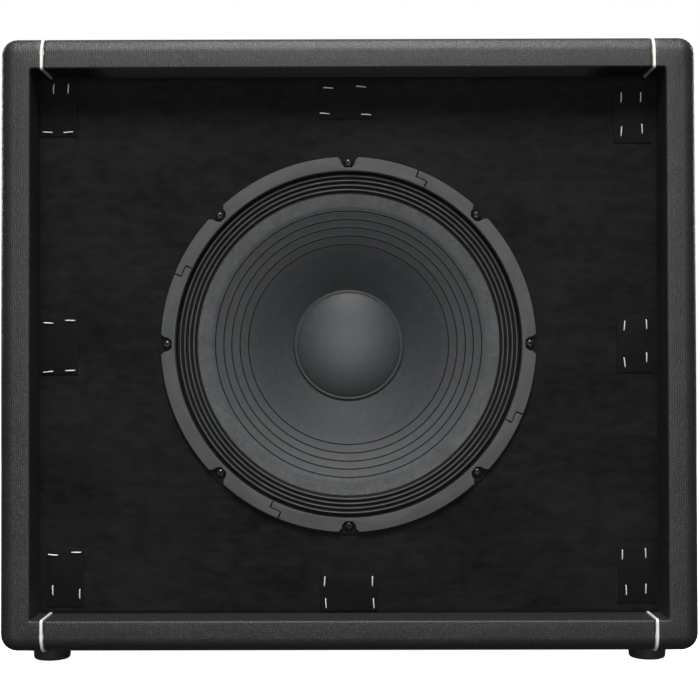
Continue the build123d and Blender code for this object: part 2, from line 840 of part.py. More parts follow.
def bend_radii(route):
    """The largest arc that fits the runs on both sides of each turn of a route."""
    points = [Vector(*point) for point in route]
    runs = [b - a for a, b in zip(points, points[1:])]
    radii = []
    for run, following in zip(runs, runs[1:]):
        shorter = min(run.length, following.length)
        radii.append(0.45 * shorter / tan(radians(run.get_angle(following)) / 2))
    return radii


def wire(route, diameter):
    """A round wire along straight runs joined by tangent arcs."""
    radii = bend_radii(route)
    with BuildPart() as strand:
        with BuildLine() as path:
            FilletPolyline(*route, radius=radii)
        with BuildSketch(Plane(origin=path.line @ 0, z_dir=path.line % 0)):
            Circle(diameter / 2)
        sweep(path=path.line)
    return strand.part


def at_speaker(x, depth, radius):
    """A point below the speaker's axis, from its depth behind the baffle's face and its radius."""
    return (x, baffle_front + depth, middle - radius)


tinsel_diameter = 1.2
tinsel_leads = []
for side in (-1, 1):
    tinsel_route = [
        at_speaker(side * tab_offset, 51.6, 91.9),
        at_speaker(side * 15.5, 53.6, 85.0),
        at_speaker(side * 14.5, 54.4, 76.5),
        at_speaker(side * 13, 53.0, 66.0),
        at_speaker(side * 11, 48.0, 57.5),
        at_speaker(side * 9, 40.2, 51.5),
    ]
    tinsel_leads.append(wire(tinsel_route, tinsel_diameter).solid())
save(Compound(children=tinsel_leads), "tinsel_leads")

lead_diameter = 2.4
lug_offset = 6.5
lug_end = back_outer - dish_depth - 39.2
connector_tip = tab_middle_plane.from_local_coords((0, connector_start + connector_length, 0))

for lead_name, side in (("lead_black", -1), ("lead_red", 1)):
    lead_route = [
        (side * tab_offset, connector_tip.Y - 0.1, connector_tip.Z - 0.15),
        (side * tab_offset, -84.3, 131.0),
        (side * 15.5, -82.5, 117.0),
        (side * 14.5, -73.0, 103.5),
        (side * 13, -55.0, 94.5),
        (side * 11.5, -28.0, 91.0),
        (side * 10, 5.0, 94.0),
        (side * 8.5, 36.0, 104.0),
        (side * 7, 58.0, 119.0),
        (side * lug_offset, lug_end - 0.2, jack_height),
    ]
    save(wire(lead_route, lead_diameter), lead_name)

# ---------------------------------------------------------------- input plate and jack

jack_section = section(back_outer, z=jack_height)
jack_axis = Axis((0, back_outer, jack_height), (0, 1, 0))
plate_metal = 1.2
jack_head_height = 2.0

with BuildPart() as jack_plate:
    with BuildSketch(facing(back_outer + plate_metal, z=jack_height)):
        RectangleRounded(jack_plate_size, jack_plate_size, 8)
        Circle(dish_radius + 0.5, mode=Mode.SUBTRACT)
        with GridLocations(jack_screw_spacing, jack_screw_spacing, 2, 2):
            Circle(jack_screw_radius + 0.3, mode=Mode.SUBTRACT)
    extrude(amount=plate_metal)
    with BuildSketch(jack_section):
        with BuildLine():
            Polyline(
                (plate_metal, dish_radius),
                (plate_metal, dish_radius + 1.5),
                (0, dish_radius + 1.5),
                (-dish_depth - plate_metal, dish_radius - 2.6),
                (-dish_depth - plate_metal, 4.9),
                (-dish_depth, 4.9),
                (-dish_depth, dish_radius - 3.8),
                close=True,
            )
        make_face()
    revolve(axis=jack_axis)
save(jack_plate.part, "jack_plate")

with BuildPart(facing(back_outer + plate_metal, z=jack_height)) as jack_plate_screws:
    with GridLocations(jack_screw_spacing, jack_screw_spacing, 2, 2):
        Cylinder(jack_screw_radius, 16, align=LOWER)
        Cylinder(3.4, jack_head_height, align=UPPER)
        with Locations((0, 0, -jack_head_height)):
            Box(4, 0.9, 2.2, mode=Mode.SUBTRACT)
            Box(0.9, 4, 2.2, mode=Mode.SUBTRACT)
save(jack_plate_screws.part, "jack_plate_screws")

jack_body = (20.0, 30.0, 22.0)
jack_front = back_outer - dish_depth - plate_metal
bushing_length = 4.2
narrow_length = 10.0
chamber_radius = 4.6
slot_front = jack_front - narrow_length
slot_rear = jack_front - 28.0
slot_width = 6.0

with BuildPart() as jack_socket:
    with Locations((0, jack_front - jack_body[1] / 2, jack_height)):
        Box(*jack_body)
    with BuildSketch(facing(jack_front, z=jack_height)):
        Circle(4.75)
    extrude(amount=-bushing_length)
    with BuildSketch(facing(jack_front + bushing_length, z=jack_height)):
        Circle(jack_bore_radius)
    extrude(amount=bushing_length + narrow_length, mode=Mode.SUBTRACT)
    with BuildSketch(facing(slot_front, z=jack_height)):
        Circle(chamber_radius)
    extrude(amount=jack_body[1] - narrow_length, mode=Mode.SUBTRACT)
    with Locations((0, (slot_front + slot_rear) / 2, jack_height)):
        Box(slot_width, slot_front - slot_rear, jack_body[2], align=LOWER, mode=Mode.SUBTRACT)
save(jack_socket.part, "jack_socket")

with BuildPart(facing(jack_front + plate_metal, z=jack_height)) as jack_nut:
    Cylinder(8.0, 0.8, align=UPPER)
    with BuildSketch(facing(jack_front + plate_metal + 0.8, z=jack_height)):
        RegularPolygon(7.2, 6)
    extrude(amount=-2.0)
    Cylinder(4.8, 6, align=(Align.CENTER, Align.CENTER, Align.CENTER), mode=Mode.SUBTRACT)
save(jack_nut.part, "jack_nut")

with BuildPart(facing(jack_front - jack_body[1], z=jack_height)) as jack_lugs:
    with Locations((-lug_offset, 0), (lug_offset, 0)):
        Box(3, 0.8, 8, align=LOWER)
save(jack_lugs.part, "jack_lugs")

# The tip contact turns about its rear end. Its bump stands in the bore until a plug lifts it.
contact_gauge = 0.5
with BuildPart() as jack_tip_contact:
    with BuildSketch(Plane.YZ):
        with BuildLine():
            Polyline(
                (slot_rear + 1.0, jack_height + 8.25),
                (slot_front - 5.0, jack_height + 5.3),
                (slot_front - 3.6, jack_height + 2.9),
                (slot_front - 2.2, jack_height + 5.6),
                (slot_front - 1.0, jack_height + 6.4),
                (slot_front - 1.0, jack_height + 6.9),
                (slot_front - 2.6, jack_height + 6.2),
                (slot_front - 3.6, jack_height + 4.2),
                (slot_front - 4.6, jack_height + 5.8),
                (slot_rear + 1.0, jack_height + 8.75),
                close=True,
            )
        make_face()
    extrude(amount=slot_width / 2 - 0.6, both=True)
save(jack_tip_contact.part, "jack_tip_contact")
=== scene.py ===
import json
import math
import random

import bmesh
import bpy
import numpy as np
from mathutils import Matrix, Vector


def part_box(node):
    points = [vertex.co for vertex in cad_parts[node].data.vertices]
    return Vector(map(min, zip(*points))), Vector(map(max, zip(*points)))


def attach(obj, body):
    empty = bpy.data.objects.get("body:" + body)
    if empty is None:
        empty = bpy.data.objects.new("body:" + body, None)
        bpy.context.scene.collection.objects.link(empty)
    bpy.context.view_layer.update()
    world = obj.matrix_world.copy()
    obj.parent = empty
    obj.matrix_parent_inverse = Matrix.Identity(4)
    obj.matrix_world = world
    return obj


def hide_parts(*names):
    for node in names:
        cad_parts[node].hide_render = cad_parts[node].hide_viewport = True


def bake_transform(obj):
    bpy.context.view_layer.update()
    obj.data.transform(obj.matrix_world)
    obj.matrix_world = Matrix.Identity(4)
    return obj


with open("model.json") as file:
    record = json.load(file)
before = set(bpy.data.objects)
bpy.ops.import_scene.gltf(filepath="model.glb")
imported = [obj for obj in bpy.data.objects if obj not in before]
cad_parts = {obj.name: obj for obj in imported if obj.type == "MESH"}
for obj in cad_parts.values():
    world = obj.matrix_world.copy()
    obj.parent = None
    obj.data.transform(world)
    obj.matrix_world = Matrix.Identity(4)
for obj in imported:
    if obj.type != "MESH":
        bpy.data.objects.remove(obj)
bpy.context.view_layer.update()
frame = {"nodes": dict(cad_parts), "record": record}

# The looks of a 1x12 guitar speaker cabinet, in metres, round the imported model. +X runs across the
# front, the front faces -Y and +Z is up.

MM = 0.001
CABINET = "cabinet"


# ---------------------------------------------------------------- places, from the frame

def box_of(*nodes):
    """Lowest and highest corner of several CAD nodes together."""
    boxes = [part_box(node) for node in nodes]
    low = Vector([min(box[0][axis] for box in boxes) for axis in range(3)])
    high = Vector([max(box[1][axis] for box in boxes) for axis in range(3)])
    return low, high


def islands(node):
    """Lowest and highest corner of each separate solid in a CAD node, as arrays, in a steady order."""
    mesh = frame["nodes"][node].data
    corners = np.array([vertex.co for vertex in mesh.vertices], float)
    keys = [tuple(np.round(corner / (0.01 * MM)).astype(int)) for corner in corners]
    first = {}
    leader = [first.setdefault(key, index) for index, key in enumerate(keys)]

    def root(index):
        while leader[index] != index:
            leader[index] = leader[leader[index]]
            index = leader[index]
        return index

    for edge in mesh.edges:
        a, b = (root(vertex) for vertex in edge.vertices)
        if a != b:
            leader[a] = b
    groups = {}
    for index in range(len(corners)):
        groups.setdefault(root(index), []).append(index)
    boxes = [(corners[group].min(axis=0), corners[group].max(axis=0)) for group in groups.values()]
    return sorted(boxes, key=lambda box: tuple(np.round((box[0] + box[1]) / MM).astype(int)))


outer_low, outer_high = box_of("left_vinyl", "right_vinyl", "top_vinyl", "bottom_vinyl")
board_low, board_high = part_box("baffle_board")
half_width = outer_high.x
half_height = (outer_high.z - outer_low.z) / 2
middle = (outer_high.z + outer_low.z) / 2
front = outer_low.y
rear = outer_high.y
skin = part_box("left_side_panel")[0].x - outer_low.x
half_opening = board_high.x - skin
baffle_front = board_low.y
back_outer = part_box("back_panel_vinyl")[1].y
opening_half_height = half_height - (half_width - half_opening)
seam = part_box("right_vinyl")[0].x
level_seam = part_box("top_vinyl")[1].x

EDGE_RADIUS = 13.5 * MM
corner_x = half_width - EDGE_RADIUS
corner_z = half_height - EDGE_RADIUS


# ---------------------------------------------------------------- meshes

def full_turn(count):
    """Evenly spaced angles round a circle."""
    return [2 * math.pi * step / count for step in range(count)]


def add_mesh(name, points, faces, material, node=None, body=CABINET, crease=40):
    """A smooth-shaded piece that rides on a body and, if a node is named, stands for it."""
    mesh = bpy.data.meshes.new(name)
    mesh.from_pydata([tuple(point) for point in points], [], faces)
    mesh.validate()
    shape = bmesh.new()
    shape.from_mesh(mesh)
    bmesh.ops.recalc_face_normals(shape, faces=shape.faces)
    shape.to_mesh(mesh)
    shape.free()
    mesh.shade_smooth()
    mesh.set_sharp_from_angle(angle=math.radians(crease))
    mesh.materials.append(material.material)
    piece = bpy.data.objects.new(name, mesh)
    bpy.context.scene.collection.objects.link(piece)
    if body:
        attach(piece, body)
    if node:
        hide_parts(*([node] if isinstance(node, str) else node))
    return piece


def grid_faces(rows, columns, loop_rows=False, loop_columns=False):
    """Quads between neighbouring points of a grid that is stored row by row."""
    faces = []
    for i in range(rows if loop_rows else rows - 1):
        for j in range(columns if loop_columns else columns - 1):
            k, m = (i + 1) % rows, (j + 1) % columns
            faces.append((i * columns + j, i * columns + m, k * columns + m, k * columns + j))
    return faces


def ends(points, count):
    """The first and the last ring of a mesh as faces, to close it."""
    return [tuple(range(count)), tuple(range(len(points) - count, len(points)))]


def join(parts):
    """Several (points, faces) meshes as one."""
    points, faces = [], []
    for more_points, more_faces in parts:
        offset = len(points)
        points.extend(more_points)
        faces.extend(tuple(index + offset for index in face) for face in more_faces)
    return points, faces


def placed(part, matrix):
    """A (points, faces) mesh moved by a matrix."""
    points, faces = part
    return [tuple(matrix @ Vector(point)) for point in points], faces


def rounded(outline, radii, steps=6, closed=True):
    """A flat outline with its corners turned into arcs. Each radius is cut to what its corner has room for."""
    count = len(outline)
    radii = [radii] * count if isinstance(radii, (int, float)) else radii
    result = []
    for index, (corner, radius) in enumerate(zip(outline, radii)):
        at = np.array(corner, float)
        if radius == 0 or (not closed and index in (0, count - 1)):
            result.append(tuple(at))
            continue
        back = np.array(outline[index - 1], float) - at
        ahead = np.array(outline[(index + 1) % count], float) - at
        back_length, ahead_length = np.linalg.norm(back), np.linalg.norm(ahead)
        back, ahead = back / back_length, ahead / ahead_length
        half_turn = math.acos(max(-1.0, min(1.0, -float(back @ ahead)))) / 2
        if half_turn < 0.01:
            result.append(tuple(at))
            continue
        reach = min(radius * math.tan(half_turn), 0.48 * back_length, 0.48 * ahead_length)
        radius = reach / math.tan(half_turn)
        bisector = (back + ahead) / np.linalg.norm(back + ahead)
        centre = at + bisector * radius / math.cos(half_turn)
        first = at + back * reach - centre
        last = at + ahead * reach - centre
        for step in range(steps + 1):
            share = step / steps
            mixed = (first * math.sin((1 - share) * 2 * half_turn)
                     + last * math.sin(share * 2 * half_turn)) / math.sin(2 * half_turn)
            result.append(tuple(centre + mixed))
    return result


def lathe(outline, turns=240, axis_depth=None, axis_z=None):
    """A solid of revolution about an axis along Y, from a closed outline of (depth, radius) in metres."""
    axis_depth = baffle_front if axis_depth is None else axis_depth
    axis_z = middle if axis_z is None else axis_z
    points = []
    for depth, radius in outline:
        for angle in full_turn(turns):
            points.append((radius * math.sin(angle), axis_depth + depth, axis_z + radius * math.cos(angle)))
    return points, grid_faces(len(outline), turns, loop_rows=True, loop_columns=True)


def prism(outline, low, high, bevel=0.0, steps=3):
    """A plate from a counter-clockwise outline in X and Z between two depths, with a rounded front edge."""
    flat = np.array(outline, float)
    tangent = np.roll(flat, -1, axis=0) - np.roll(flat, 1, axis=0)
    inward = np.stack([-tangent[:, 1], tangent[:, 0]], axis=1)
    inward /= np.maximum(np.linalg.norm(inward, axis=1, keepdims=True), 1e-12)
    rings = [(high, 0.0)]
    for step in range(steps + 1):
        angle = math.pi / 2 * step / steps
        rings.append((low + bevel * (1 - math.sin(angle)), bevel * (1 - math.cos(angle))))
    points = []
    for depth, shrink in rings:
        points += [(x, depth, z) for x, z in flat + inward * shrink]
    count = len(flat)
    faces = grid_faces(len(rings), count, loop_columns=True)
    faces.append(tuple(range(count)))
    faces.append(tuple(reversed(range(len(points) - count, len(points)))))
    return points, faces


def tube(path, radius, sides=10, flatten=1.0, up=(0, 1, 0)):
    """A round or flattened wire along points, closed at both ends."""
    path = [Vector(point) for point in path]
    points = []
    for index, at in enumerate(path):
        ahead = path[min(index + 1, len(path) - 1)] - path[max(index - 1, 0)]
        side = ahead.cross(Vector(up)).normalized()
        over = side.cross(ahead).normalized()
        for angle in full_turn(sides):
            offset = side * math.cos(angle) * radius + over * math.sin(angle) * radius * flatten
            points.append(tuple(at + offset))
    faces = grid_faces(len(path), sides, loop_columns=True)
    faces.append(tuple(reversed(range(sides))))
    faces.append(tuple(range(len(points) - sides, len(points))))
    return points, faces


# ---------------------------------------------------------------- materials

FIRST_ROLL, ROLL_PITCH = 137.9, 3.75
GROOVES = (83.1, 89.9, 96.5, 102.8, 109.4)


class Finish:
    """A node material. Each call to add() makes one node and returns its first output."""

    def __init__(self, name, slot=None, **surface):
        self.slot = slot
        self.material = bpy.data.materials.new(name)
        self.material.use_nodes = True
        self.tree = self.material.node_tree
        self.shader = self.tree.nodes["Principled BSDF"]
        self.set(**surface)

    def set(self, **surface):
        """Values or sockets for the shader, by its socket names with _ for a space."""
        for name, value in surface.items():
            self.feed(self.shader.inputs[name.replace("_", " ")], value)

    def feed(self, socket, value):
        if isinstance(value, bpy.types.NodeSocket):
            self.tree.links.new(value, socket)
        elif socket.type == "RGBA" and len(value) == 3:
            socket.default_value = (*value, 1)
        else:
            socket.default_value = value

    def add(self, kind, *inputs, output=0, **settings):
        node = self.tree.nodes.new("ShaderNode" + kind)
        for key, value in settings.items():
            setattr(node, key, value)
        for socket, value in zip(node.inputs, inputs):
            if value is not None:
                self.feed(socket, value)
        return node.outputs[output]

    def math(self, operation, *inputs):
        return self.add("Math", *inputs, operation=operation)

    def plus(self, *inputs):
        return self.math("ADD", *inputs)

    def minus(self, *inputs):
        return self.math("SUBTRACT", *inputs)

    def times(self, *inputs):
        return self.math("MULTIPLY", *inputs)

    def object_point(self):
        return self.add("TexCoord", output=3)

    def parts(self, vector):
        """The three parts of a vector, as sockets."""
        node = self.tree.nodes.new("ShaderNodeSeparateXYZ")
        self.feed(node.inputs[0], vector)
        return node.outputs

    def weigh(self, *terms):
        """The sum of values, each (value, weight)."""
        total = None
        for value, weight in terms:
            part = self.times(value, weight)
            total = part if total is None else self.plus(total, part)
        return total

    def noise(self, point, scale, detail=3.0, roughness=0.55, stretch=None):
        """Noise of about 0 to 1 whose patches are scale metres wide, longer along axes with stretch over 1."""
        if stretch:
            point = self.add("VectorMath", point, tuple(1 / s for s in stretch), operation="MULTIPLY")
        return self.add("TexNoise", point, None, 1 / scale, detail, roughness)

    def between(self, value, low, high, out_low=0.0, out_high=1.0):
        return self.add("MapRange", value, low, high, out_low, out_high)

    def colours(self, value, *stops):
        """A colour ramp through (position, colour) stops."""
        node = self.tree.nodes.new("ShaderNodeValToRGB")
        self.feed(node.inputs[0], value)
        ramp = node.color_ramp
        while len(ramp.elements) < len(stops):
            ramp.elements.new(0.5)
        for element, (position, colour) in zip(ramp.elements, stops):
            element.position = position
            element.color = (*colour, 1)
        return node.outputs[0]

    def blend_colours(self, factor, first, second):
        node = self.tree.nodes.new("ShaderNodeMix")
        node.data_type = "RGBA"
        self.feed(node.inputs[0], factor)
        self.feed(node.inputs[6], first)
        self.feed(node.inputs[7], second)
        return node.outputs[2]

    def bump(self, *heights):
        """Bumps, each a (height, distance in metres), one on top of the other."""
        normal = None
        for height, distance in heights:
            node = self.tree.nodes.new("ShaderNodeBump")
            node.inputs["Distance"].default_value = distance
            self.feed(node.inputs["Height"], height)
            if normal is not None:
                self.feed(node.inputs["Normal"], normal)
            normal = node.outputs[0]
        self.set(Normal=normal)


def grey(value, warmth=0.0):
    return (value * (1 + warmth), value, value * (1 - warmth))


def shades(finish, factor, dark, light):
    """A colour from dark to light by a factor of 0 to 1."""
    return finish.colours(factor, (0.0, dark), (1.0, light))


def plain_finish(name, slot, dark, light, grain, roughness, bump=0.05 * MM, stretch=None, **surface):
    """A material whose colour, roughness and relief follow one grain and a broad patchiness."""
    finish = Finish(name, slot, **surface)
    point = finish.object_point()
    fine = finish.noise(point, grain, stretch=stretch)
    broad = finish.noise(point, grain * 14)
    factor = finish.weigh((fine, 0.6), (broad, 0.4))
    finish.set(Base_Color=shades(finish, finish.between(factor, 0.3, 0.7), dark, light))
    finish.set(Roughness=finish.between(fine, 0.3, 0.7, roughness[0], roughness[1]))
    finish.bump((fine, bump))
    return finish


def vinyl_finish():
    """Black covering vinyl with a fine woven grain, in the coordinates of each sheet."""
    finish = Finish("covering_vinyl", "vinyl", Specular_IOR_Level=0.55)
    sheet = finish.add("UVMap", uv_map="weave")
    return weave(finish, sheet, inner_walls=True)


def back_vinyl_finish():
    """The same vinyl on the flat back panel."""
    finish = Finish("back_vinyl", "vinyl", Specular_IOR_Level=0.55)
    split = finish.parts(finish.object_point())
    sheet = finish.add("CombineXYZ", split[0], split[2], split[1])
    return weave(finish, sheet)


def weave(finish, sheet, inner_walls=False):
    """The woven grain: upright and level threads that sway and break."""
    pitch = 1.75 * MM
    split = finish.parts(sheet)
    threads = []
    for axis, share, run in ((0, 1.0, (1, 4, 1)), (1, 0.55, (3, 1, 1))):
        drift = finish.noise(sheet, 5 * MM, 3.0, stretch=run)
        swing = finish.times(drift, 9.0)
        phase = finish.times(split[axis], 2 * math.pi / pitch)
        wave = finish.between(finish.math("SINE", finish.plus(phase, swing)), -1, 1)
        breaks = finish.noise(sheet, 1.1 * MM, 2.0, stretch=run)
        strength = finish.between(breaks, 0.40, 0.60, 0.0, share)
        threads.append(finish.times(wave, strength))
    grain = finish.times(finish.plus(threads[0], threads[1]), 0.65)
    broad = finish.noise(sheet, 45 * MM, 3.0)
    tone = finish.weigh((grain, 0.7), (broad, 0.4))
    colour = shades(finish, finish.between(tone, 0.15, 0.75), grey(0.010, -0.05), grey(0.027, -0.05))
    rough = finish.between(grain, 0.0, 0.7, 0.56, 0.42)
    if inner_walls:
        colour, rough = inner_wall_darkening_and_painted_light(finish, split, colour, rough)
    finish.set(Base_Color=colour, Roughness=rough)
    finish.bump((broad, 1.2 * MM), (grain, 0.15 * MM))
    return finish


def inner_wall_darkening_and_painted_light(finish, split, colour, rough):
    """Inside the opening the vinyl is set darker and duller, and on the middle of the wall overhead it is
    painted pale grey as painted light.
    """
    beyond = [finish.minus(finish.math("ABSOLUTE", split[axis]), limit - 12.2 * MM)
              for axis, limit in ((0, corner_x), (1, corner_z))]
    inside = finish.between(finish.math("MAXIMUM", *beyond), -1.5 * MM, 0.5 * MM, 1.0, 0.0)
    # painted light: the middle of the wall overhead is painted pale grey in place of light bounced up onto it
    over = finish.between(split[1], corner_z - 70 * MM, corner_z - 68 * MM)
    along = finish.between(beyond[0], -62 * MM, -42 * MM, 1.0, 0.0)
    ceiling = finish.times(over, along)
    inside = finish.minus(inside, finish.times(ceiling, inside))
    paler = finish.times(ceiling, finish.between(beyond[1], -1.5 * MM, 0.5 * MM, 1.0, 0.0))
    colour = finish.blend_colours(paler, colour, grey(0.20, -0.05))
    colour = finish.blend_colours(finish.times(inside, 0.7), colour, grey(0.0025))
    return colour, finish.plus(rough, finish.times(inside, 0.3))


def piping_finish():
    finish = Finish("white_piping", "piping", Specular_IOR_Level=0.5, Coat_Weight=0.25, Coat_Roughness=0.3)
    point = finish.object_point()
    soil = finish.noise(point, 7 * MM)
    fine = finish.noise(point, 0.8 * MM)
    finish.set(Base_Color=shades(finish, finish.between(soil, 0.35, 0.6), (0.88, 0.875, 0.86),
                                 (0.95, 0.95, 0.945)))
    finish.set(Roughness=finish.between(fine, 0.3, 0.7, 0.32, 0.45))
    finish.bump((soil, 0.25 * MM), (fine, 0.03 * MM))
    return finish


def baffle_finish():
    """Thin black paint that lets the plywood's level grain show, with a painted shadow along its top and bottom
    edges.
    """
    finish = Finish("baffle_paint", "baffle_paint", Specular_IOR_Level=0.16)
    point = finish.object_point()
    grain = finish.noise(point, 2.0 * MM, 6.0, 0.7, stretch=(9, 1, 1))
    mottle = finish.noise(point, 9 * MM, 5.0, 0.65, stretch=(1.8, 1, 1))
    pores = finish.noise(point, 1.5 * MM, 3.0, 0.6, stretch=(6, 1, 1))
    broad = finish.noise(point, 60 * MM, 3.0, stretch=(2, 1, 1))
    pits = finish.between(pores, 0.64, 0.76)
    tone = finish.weigh((grain, 0.35), (mottle, 0.4))
    tone = finish.plus(tone, finish.times(broad, 0.3))
    paint = shades(finish, finish.between(tone, 0.42, 0.62), grey(0.0002), grey(0.0092))
    split = finish.parts(point)
    # painted shadow: a ragged band along the top and bottom edges is painted near black for the shade in the gap
    # under the walls; dark holds it together with the pores
    rise = finish.math("ABSOLUTE", finish.minus(split[2], middle))
    ragged = finish.plus(rise, finish.times(finish.noise(point, 14 * MM, 4.0), 2.4 * MM))
    edge_gap_shadow = finish.between(ragged, opening_half_height - 1.6 * MM, opening_half_height - 1.0 * MM, 0.0, 0.85)
    dark = finish.math("MAXIMUM", finish.times(pits, 0.6), edge_gap_shadow)
    finish.set(Base_Color=finish.blend_colours(dark, paint, grey(0.0008)))
    finish.set(Roughness=finish.between(grain, 0.3, 0.7, 0.66, 0.82))
    finish.bump((mottle, 0.3 * MM), (grain, 0.16 * MM))
    return finish


def radius_from_axis(finish):
    """How far a point is from the speaker's axis, in metres."""
    split = finish.parts(finish.object_point())
    x_squared = finish.math("POWER", finish.math("ABSOLUTE", split[0]), 2.0)
    height = finish.math("ABSOLUTE", finish.minus(split[2], middle))
    return finish.math("SQRT", finish.plus(x_squared, finish.math("POWER", height, 2.0)))


def rings_at(finish, radius, places, width):
    """1 on fine rings at given radii in millimetres, and 0 away from them."""
    total = None
    for place in places:
        away = finish.math("ABSOLUTE", finish.minus(radius, place * MM))
        ring = finish.between(away, 0.25 * width * MM, width * MM, 1.0, 0.0)
        total = ring if total is None else finish.math("MAXIMUM", total, ring)
    return total


def cone_finish():
    """Dark pressed pulp, paler further out, with painted shade darkening its grooves, and a paler, speckled ring
    of dope round its lip.
    """
    finish = Finish("cone_paper", "cone_paper", Specular_IOR_Level=0.3)
    point = finish.object_point()
    fibres = finish.noise(point, 0.9 * MM, 5.0, 0.7)
    flock = finish.noise(point, 5 * MM, 4.0, 0.6)
    specks = finish.between(finish.noise(point, 0.8 * MM, 2.0, 0.6), 0.60, 0.70)
    wash = finish.noise(point, 22 * MM, 3.0)
    radius = radius_from_axis(finish)
    wobble = finish.times(finish.minus(flock, 0.5), 5 * MM)
    lip = finish.between(finish.plus(radius, wobble), 107 * MM, 119 * MM)
    tone = finish.weigh((fibres, 0.5), (flock, 0.5))
    pulp = shades(finish, finish.between(tone, 0.3, 0.7), grey(0.034, -0.05), grey(0.054, -0.05))
    dope_tone = finish.weigh((wash, 0.5), (flock, 0.5))
    dope = shades(finish, finish.between(dope_tone, 0.35, 0.65), grey(0.052, -0.04), grey(0.088, -0.03))
    dope = finish.blend_colours(finish.times(specks, 0.5), dope, grey(0.24))
    # the pulp turns paler from 74 mm to 94 mm outward
    paler_outer_pulp = shades(finish, finish.between(tone, 0.3, 0.7), grey(0.050, -0.05), grey(0.076, -0.05))
    pulp = finish.blend_colours(finish.between(radius, 74 * MM, 94 * MM), pulp, paler_outer_pulp)
    colour = finish.blend_colours(lip, pulp, dope)
    # painted shade: fine near-black rings darken the pressed grooves
    painted_groove_shade = rings_at(finish, radius, GROOVES, 0.75)
    finish.set(Base_Color=finish.blend_colours(finish.times(painted_groove_shade, 0.93), colour, grey(0.004)))
    finish.set(Roughness=finish.between(fibres, 0.3, 0.7, 0.55, 0.72))
    finish.bump((flock, 0.12 * MM), (fibres, 0.05 * MM))
    return finish


def cap_finish():
    """The felted cap with fine fibres, painted paler towards its middle and darker towards its rim as painted
    light and shade.
    """
    finish = Finish("cap_paper", "cap_paper", Specular_IOR_Level=0.35)
    point = finish.object_point()
    fibres = finish.noise(point, 0.7 * MM, 4.0, 0.7)
    flock = finish.noise(point, 6 * MM, 3.0)
    radius = radius_from_axis(finish)
    tone = finish.weigh((fibres, 0.6), (flock, 0.4))
    # painted light and shade: the colour runs from a dark rim to a pale crown for the light falling off towards
    # the cap's edge
    rim = shades(finish, finish.between(tone, 0.3, 0.7), grey(0.026, -0.05), grey(0.040, -0.05))
    crown = shades(finish, finish.between(tone, 0.3, 0.7), grey(0.062, -0.05), grey(0.086, -0.05))
    finish.set(Base_Color=finish.blend_colours(finish.between(radius, 44 * MM, 12 * MM), rim, crown))
    finish.set(Roughness=finish.between(fibres, 0.3, 0.7, 0.44, 0.56))
    finish.bump((flock, 0.08 * MM), (fibres, 0.03 * MM))
    return finish


def doped_finish():
    """The surround: cloth and paper soaked in dope, with painted shade in its valleys and in the trough beside
    the gasket, and painted highlights on its rolls.
    """
    finish = Finish("surround_dope", "surround_paper", Specular_IOR_Level=0.3)
    point = finish.object_point()
    fibres = finish.noise(point, 0.8 * MM, 4.0, 0.65)
    broad = finish.noise(point, 12 * MM, 3.0)
    radius = radius_from_axis(finish)
    # painted highlight and shade: pale on the crests of the rolls, near black in the valleys and in the trough
    # beyond 139.5 mm
    turn = finish.times(finish.minus(FIRST_ROLL * MM, radius), 2 * math.pi / (ROLL_PITCH * MM))
    painted_crest_highlight = finish.between(finish.math("COSINE", turn), -0.2, 1.0)
    rolls = finish.between(radius, 139.5 * MM, 138.9 * MM)
    painted_crest_highlight = finish.times(painted_crest_highlight, rolls)
    patchy_crest_highlight = finish.times(painted_crest_highlight, finish.between(broad, 0.3, 0.7, 0.75, 1.1))
    colour = shades(finish, patchy_crest_highlight, grey(0.004, -0.03), grey(0.105, -0.04))
    finish.set(Base_Color=finish.blend_colours(finish.between(fibres, 0.35, 0.6, 0.3, 0.0), colour,
                                               grey(0.02)))
    finish.set(Roughness=finish.between(fibres, 0.3, 0.7, 0.45, 0.62))
    finish.bump((fibres, 0.06 * MM))
    return finish


def gasket_finish():
    finish = Finish("gasket_fibre", "gasket_fibre", Specular_IOR_Level=0.25)
    point = finish.object_point()
    fibres = finish.noise(point, 0.8 * MM, 4.0, 0.7)
    broad = finish.noise(point, 28 * MM, 3.0)
    tone = finish.weigh((fibres, 0.35), (broad, 0.65))
    finish.set(Base_Color=shades(finish, finish.between(tone, 0.32, 0.68), grey(0.066, -0.05),
                                 grey(0.088, -0.03)))
    finish.set(Roughness=finish.between(fibres, 0.3, 0.7, 0.6, 0.78))
    finish.bump((broad, 0.5 * MM), (fibres, 0.04 * MM))
    return finish


def metal_finish(name, slot, colour, roughness, grain=0.5 * MM, metallic=1.0, stretch=None):
    dark = tuple(0.8 * part for part in colour)
    return plain_finish(name, slot, dark, colour, grain, roughness, 0.015 * MM, stretch, Metallic=metallic)


def ply_finish():
    """Bare birch plywood: pale plies in layers."""
    finish = Finish("bare_plywood", "plywood", Specular_IOR_Level=0.3)
    point = finish.object_point()
    fibres = finish.noise(point, 1.2 * MM, 4.0, 0.6, stretch=(10, 1, 10))
    broad = finish.noise(point, 30 * MM, 3.0, stretch=(3, 1, 3))
    tone = finish.weigh((fibres, 0.6), (broad, 0.5))
    finish.set(Base_Color=shades(finish, finish.between(tone, 0.3, 0.75), (0.42, 0.28, 0.15),
                                 (0.68, 0.52, 0.33)))
    finish.set(Roughness=finish.between(fibres, 0.3, 0.7, 0.6, 0.75))
    finish.bump((fibres, 0.08 * MM))
    return finish


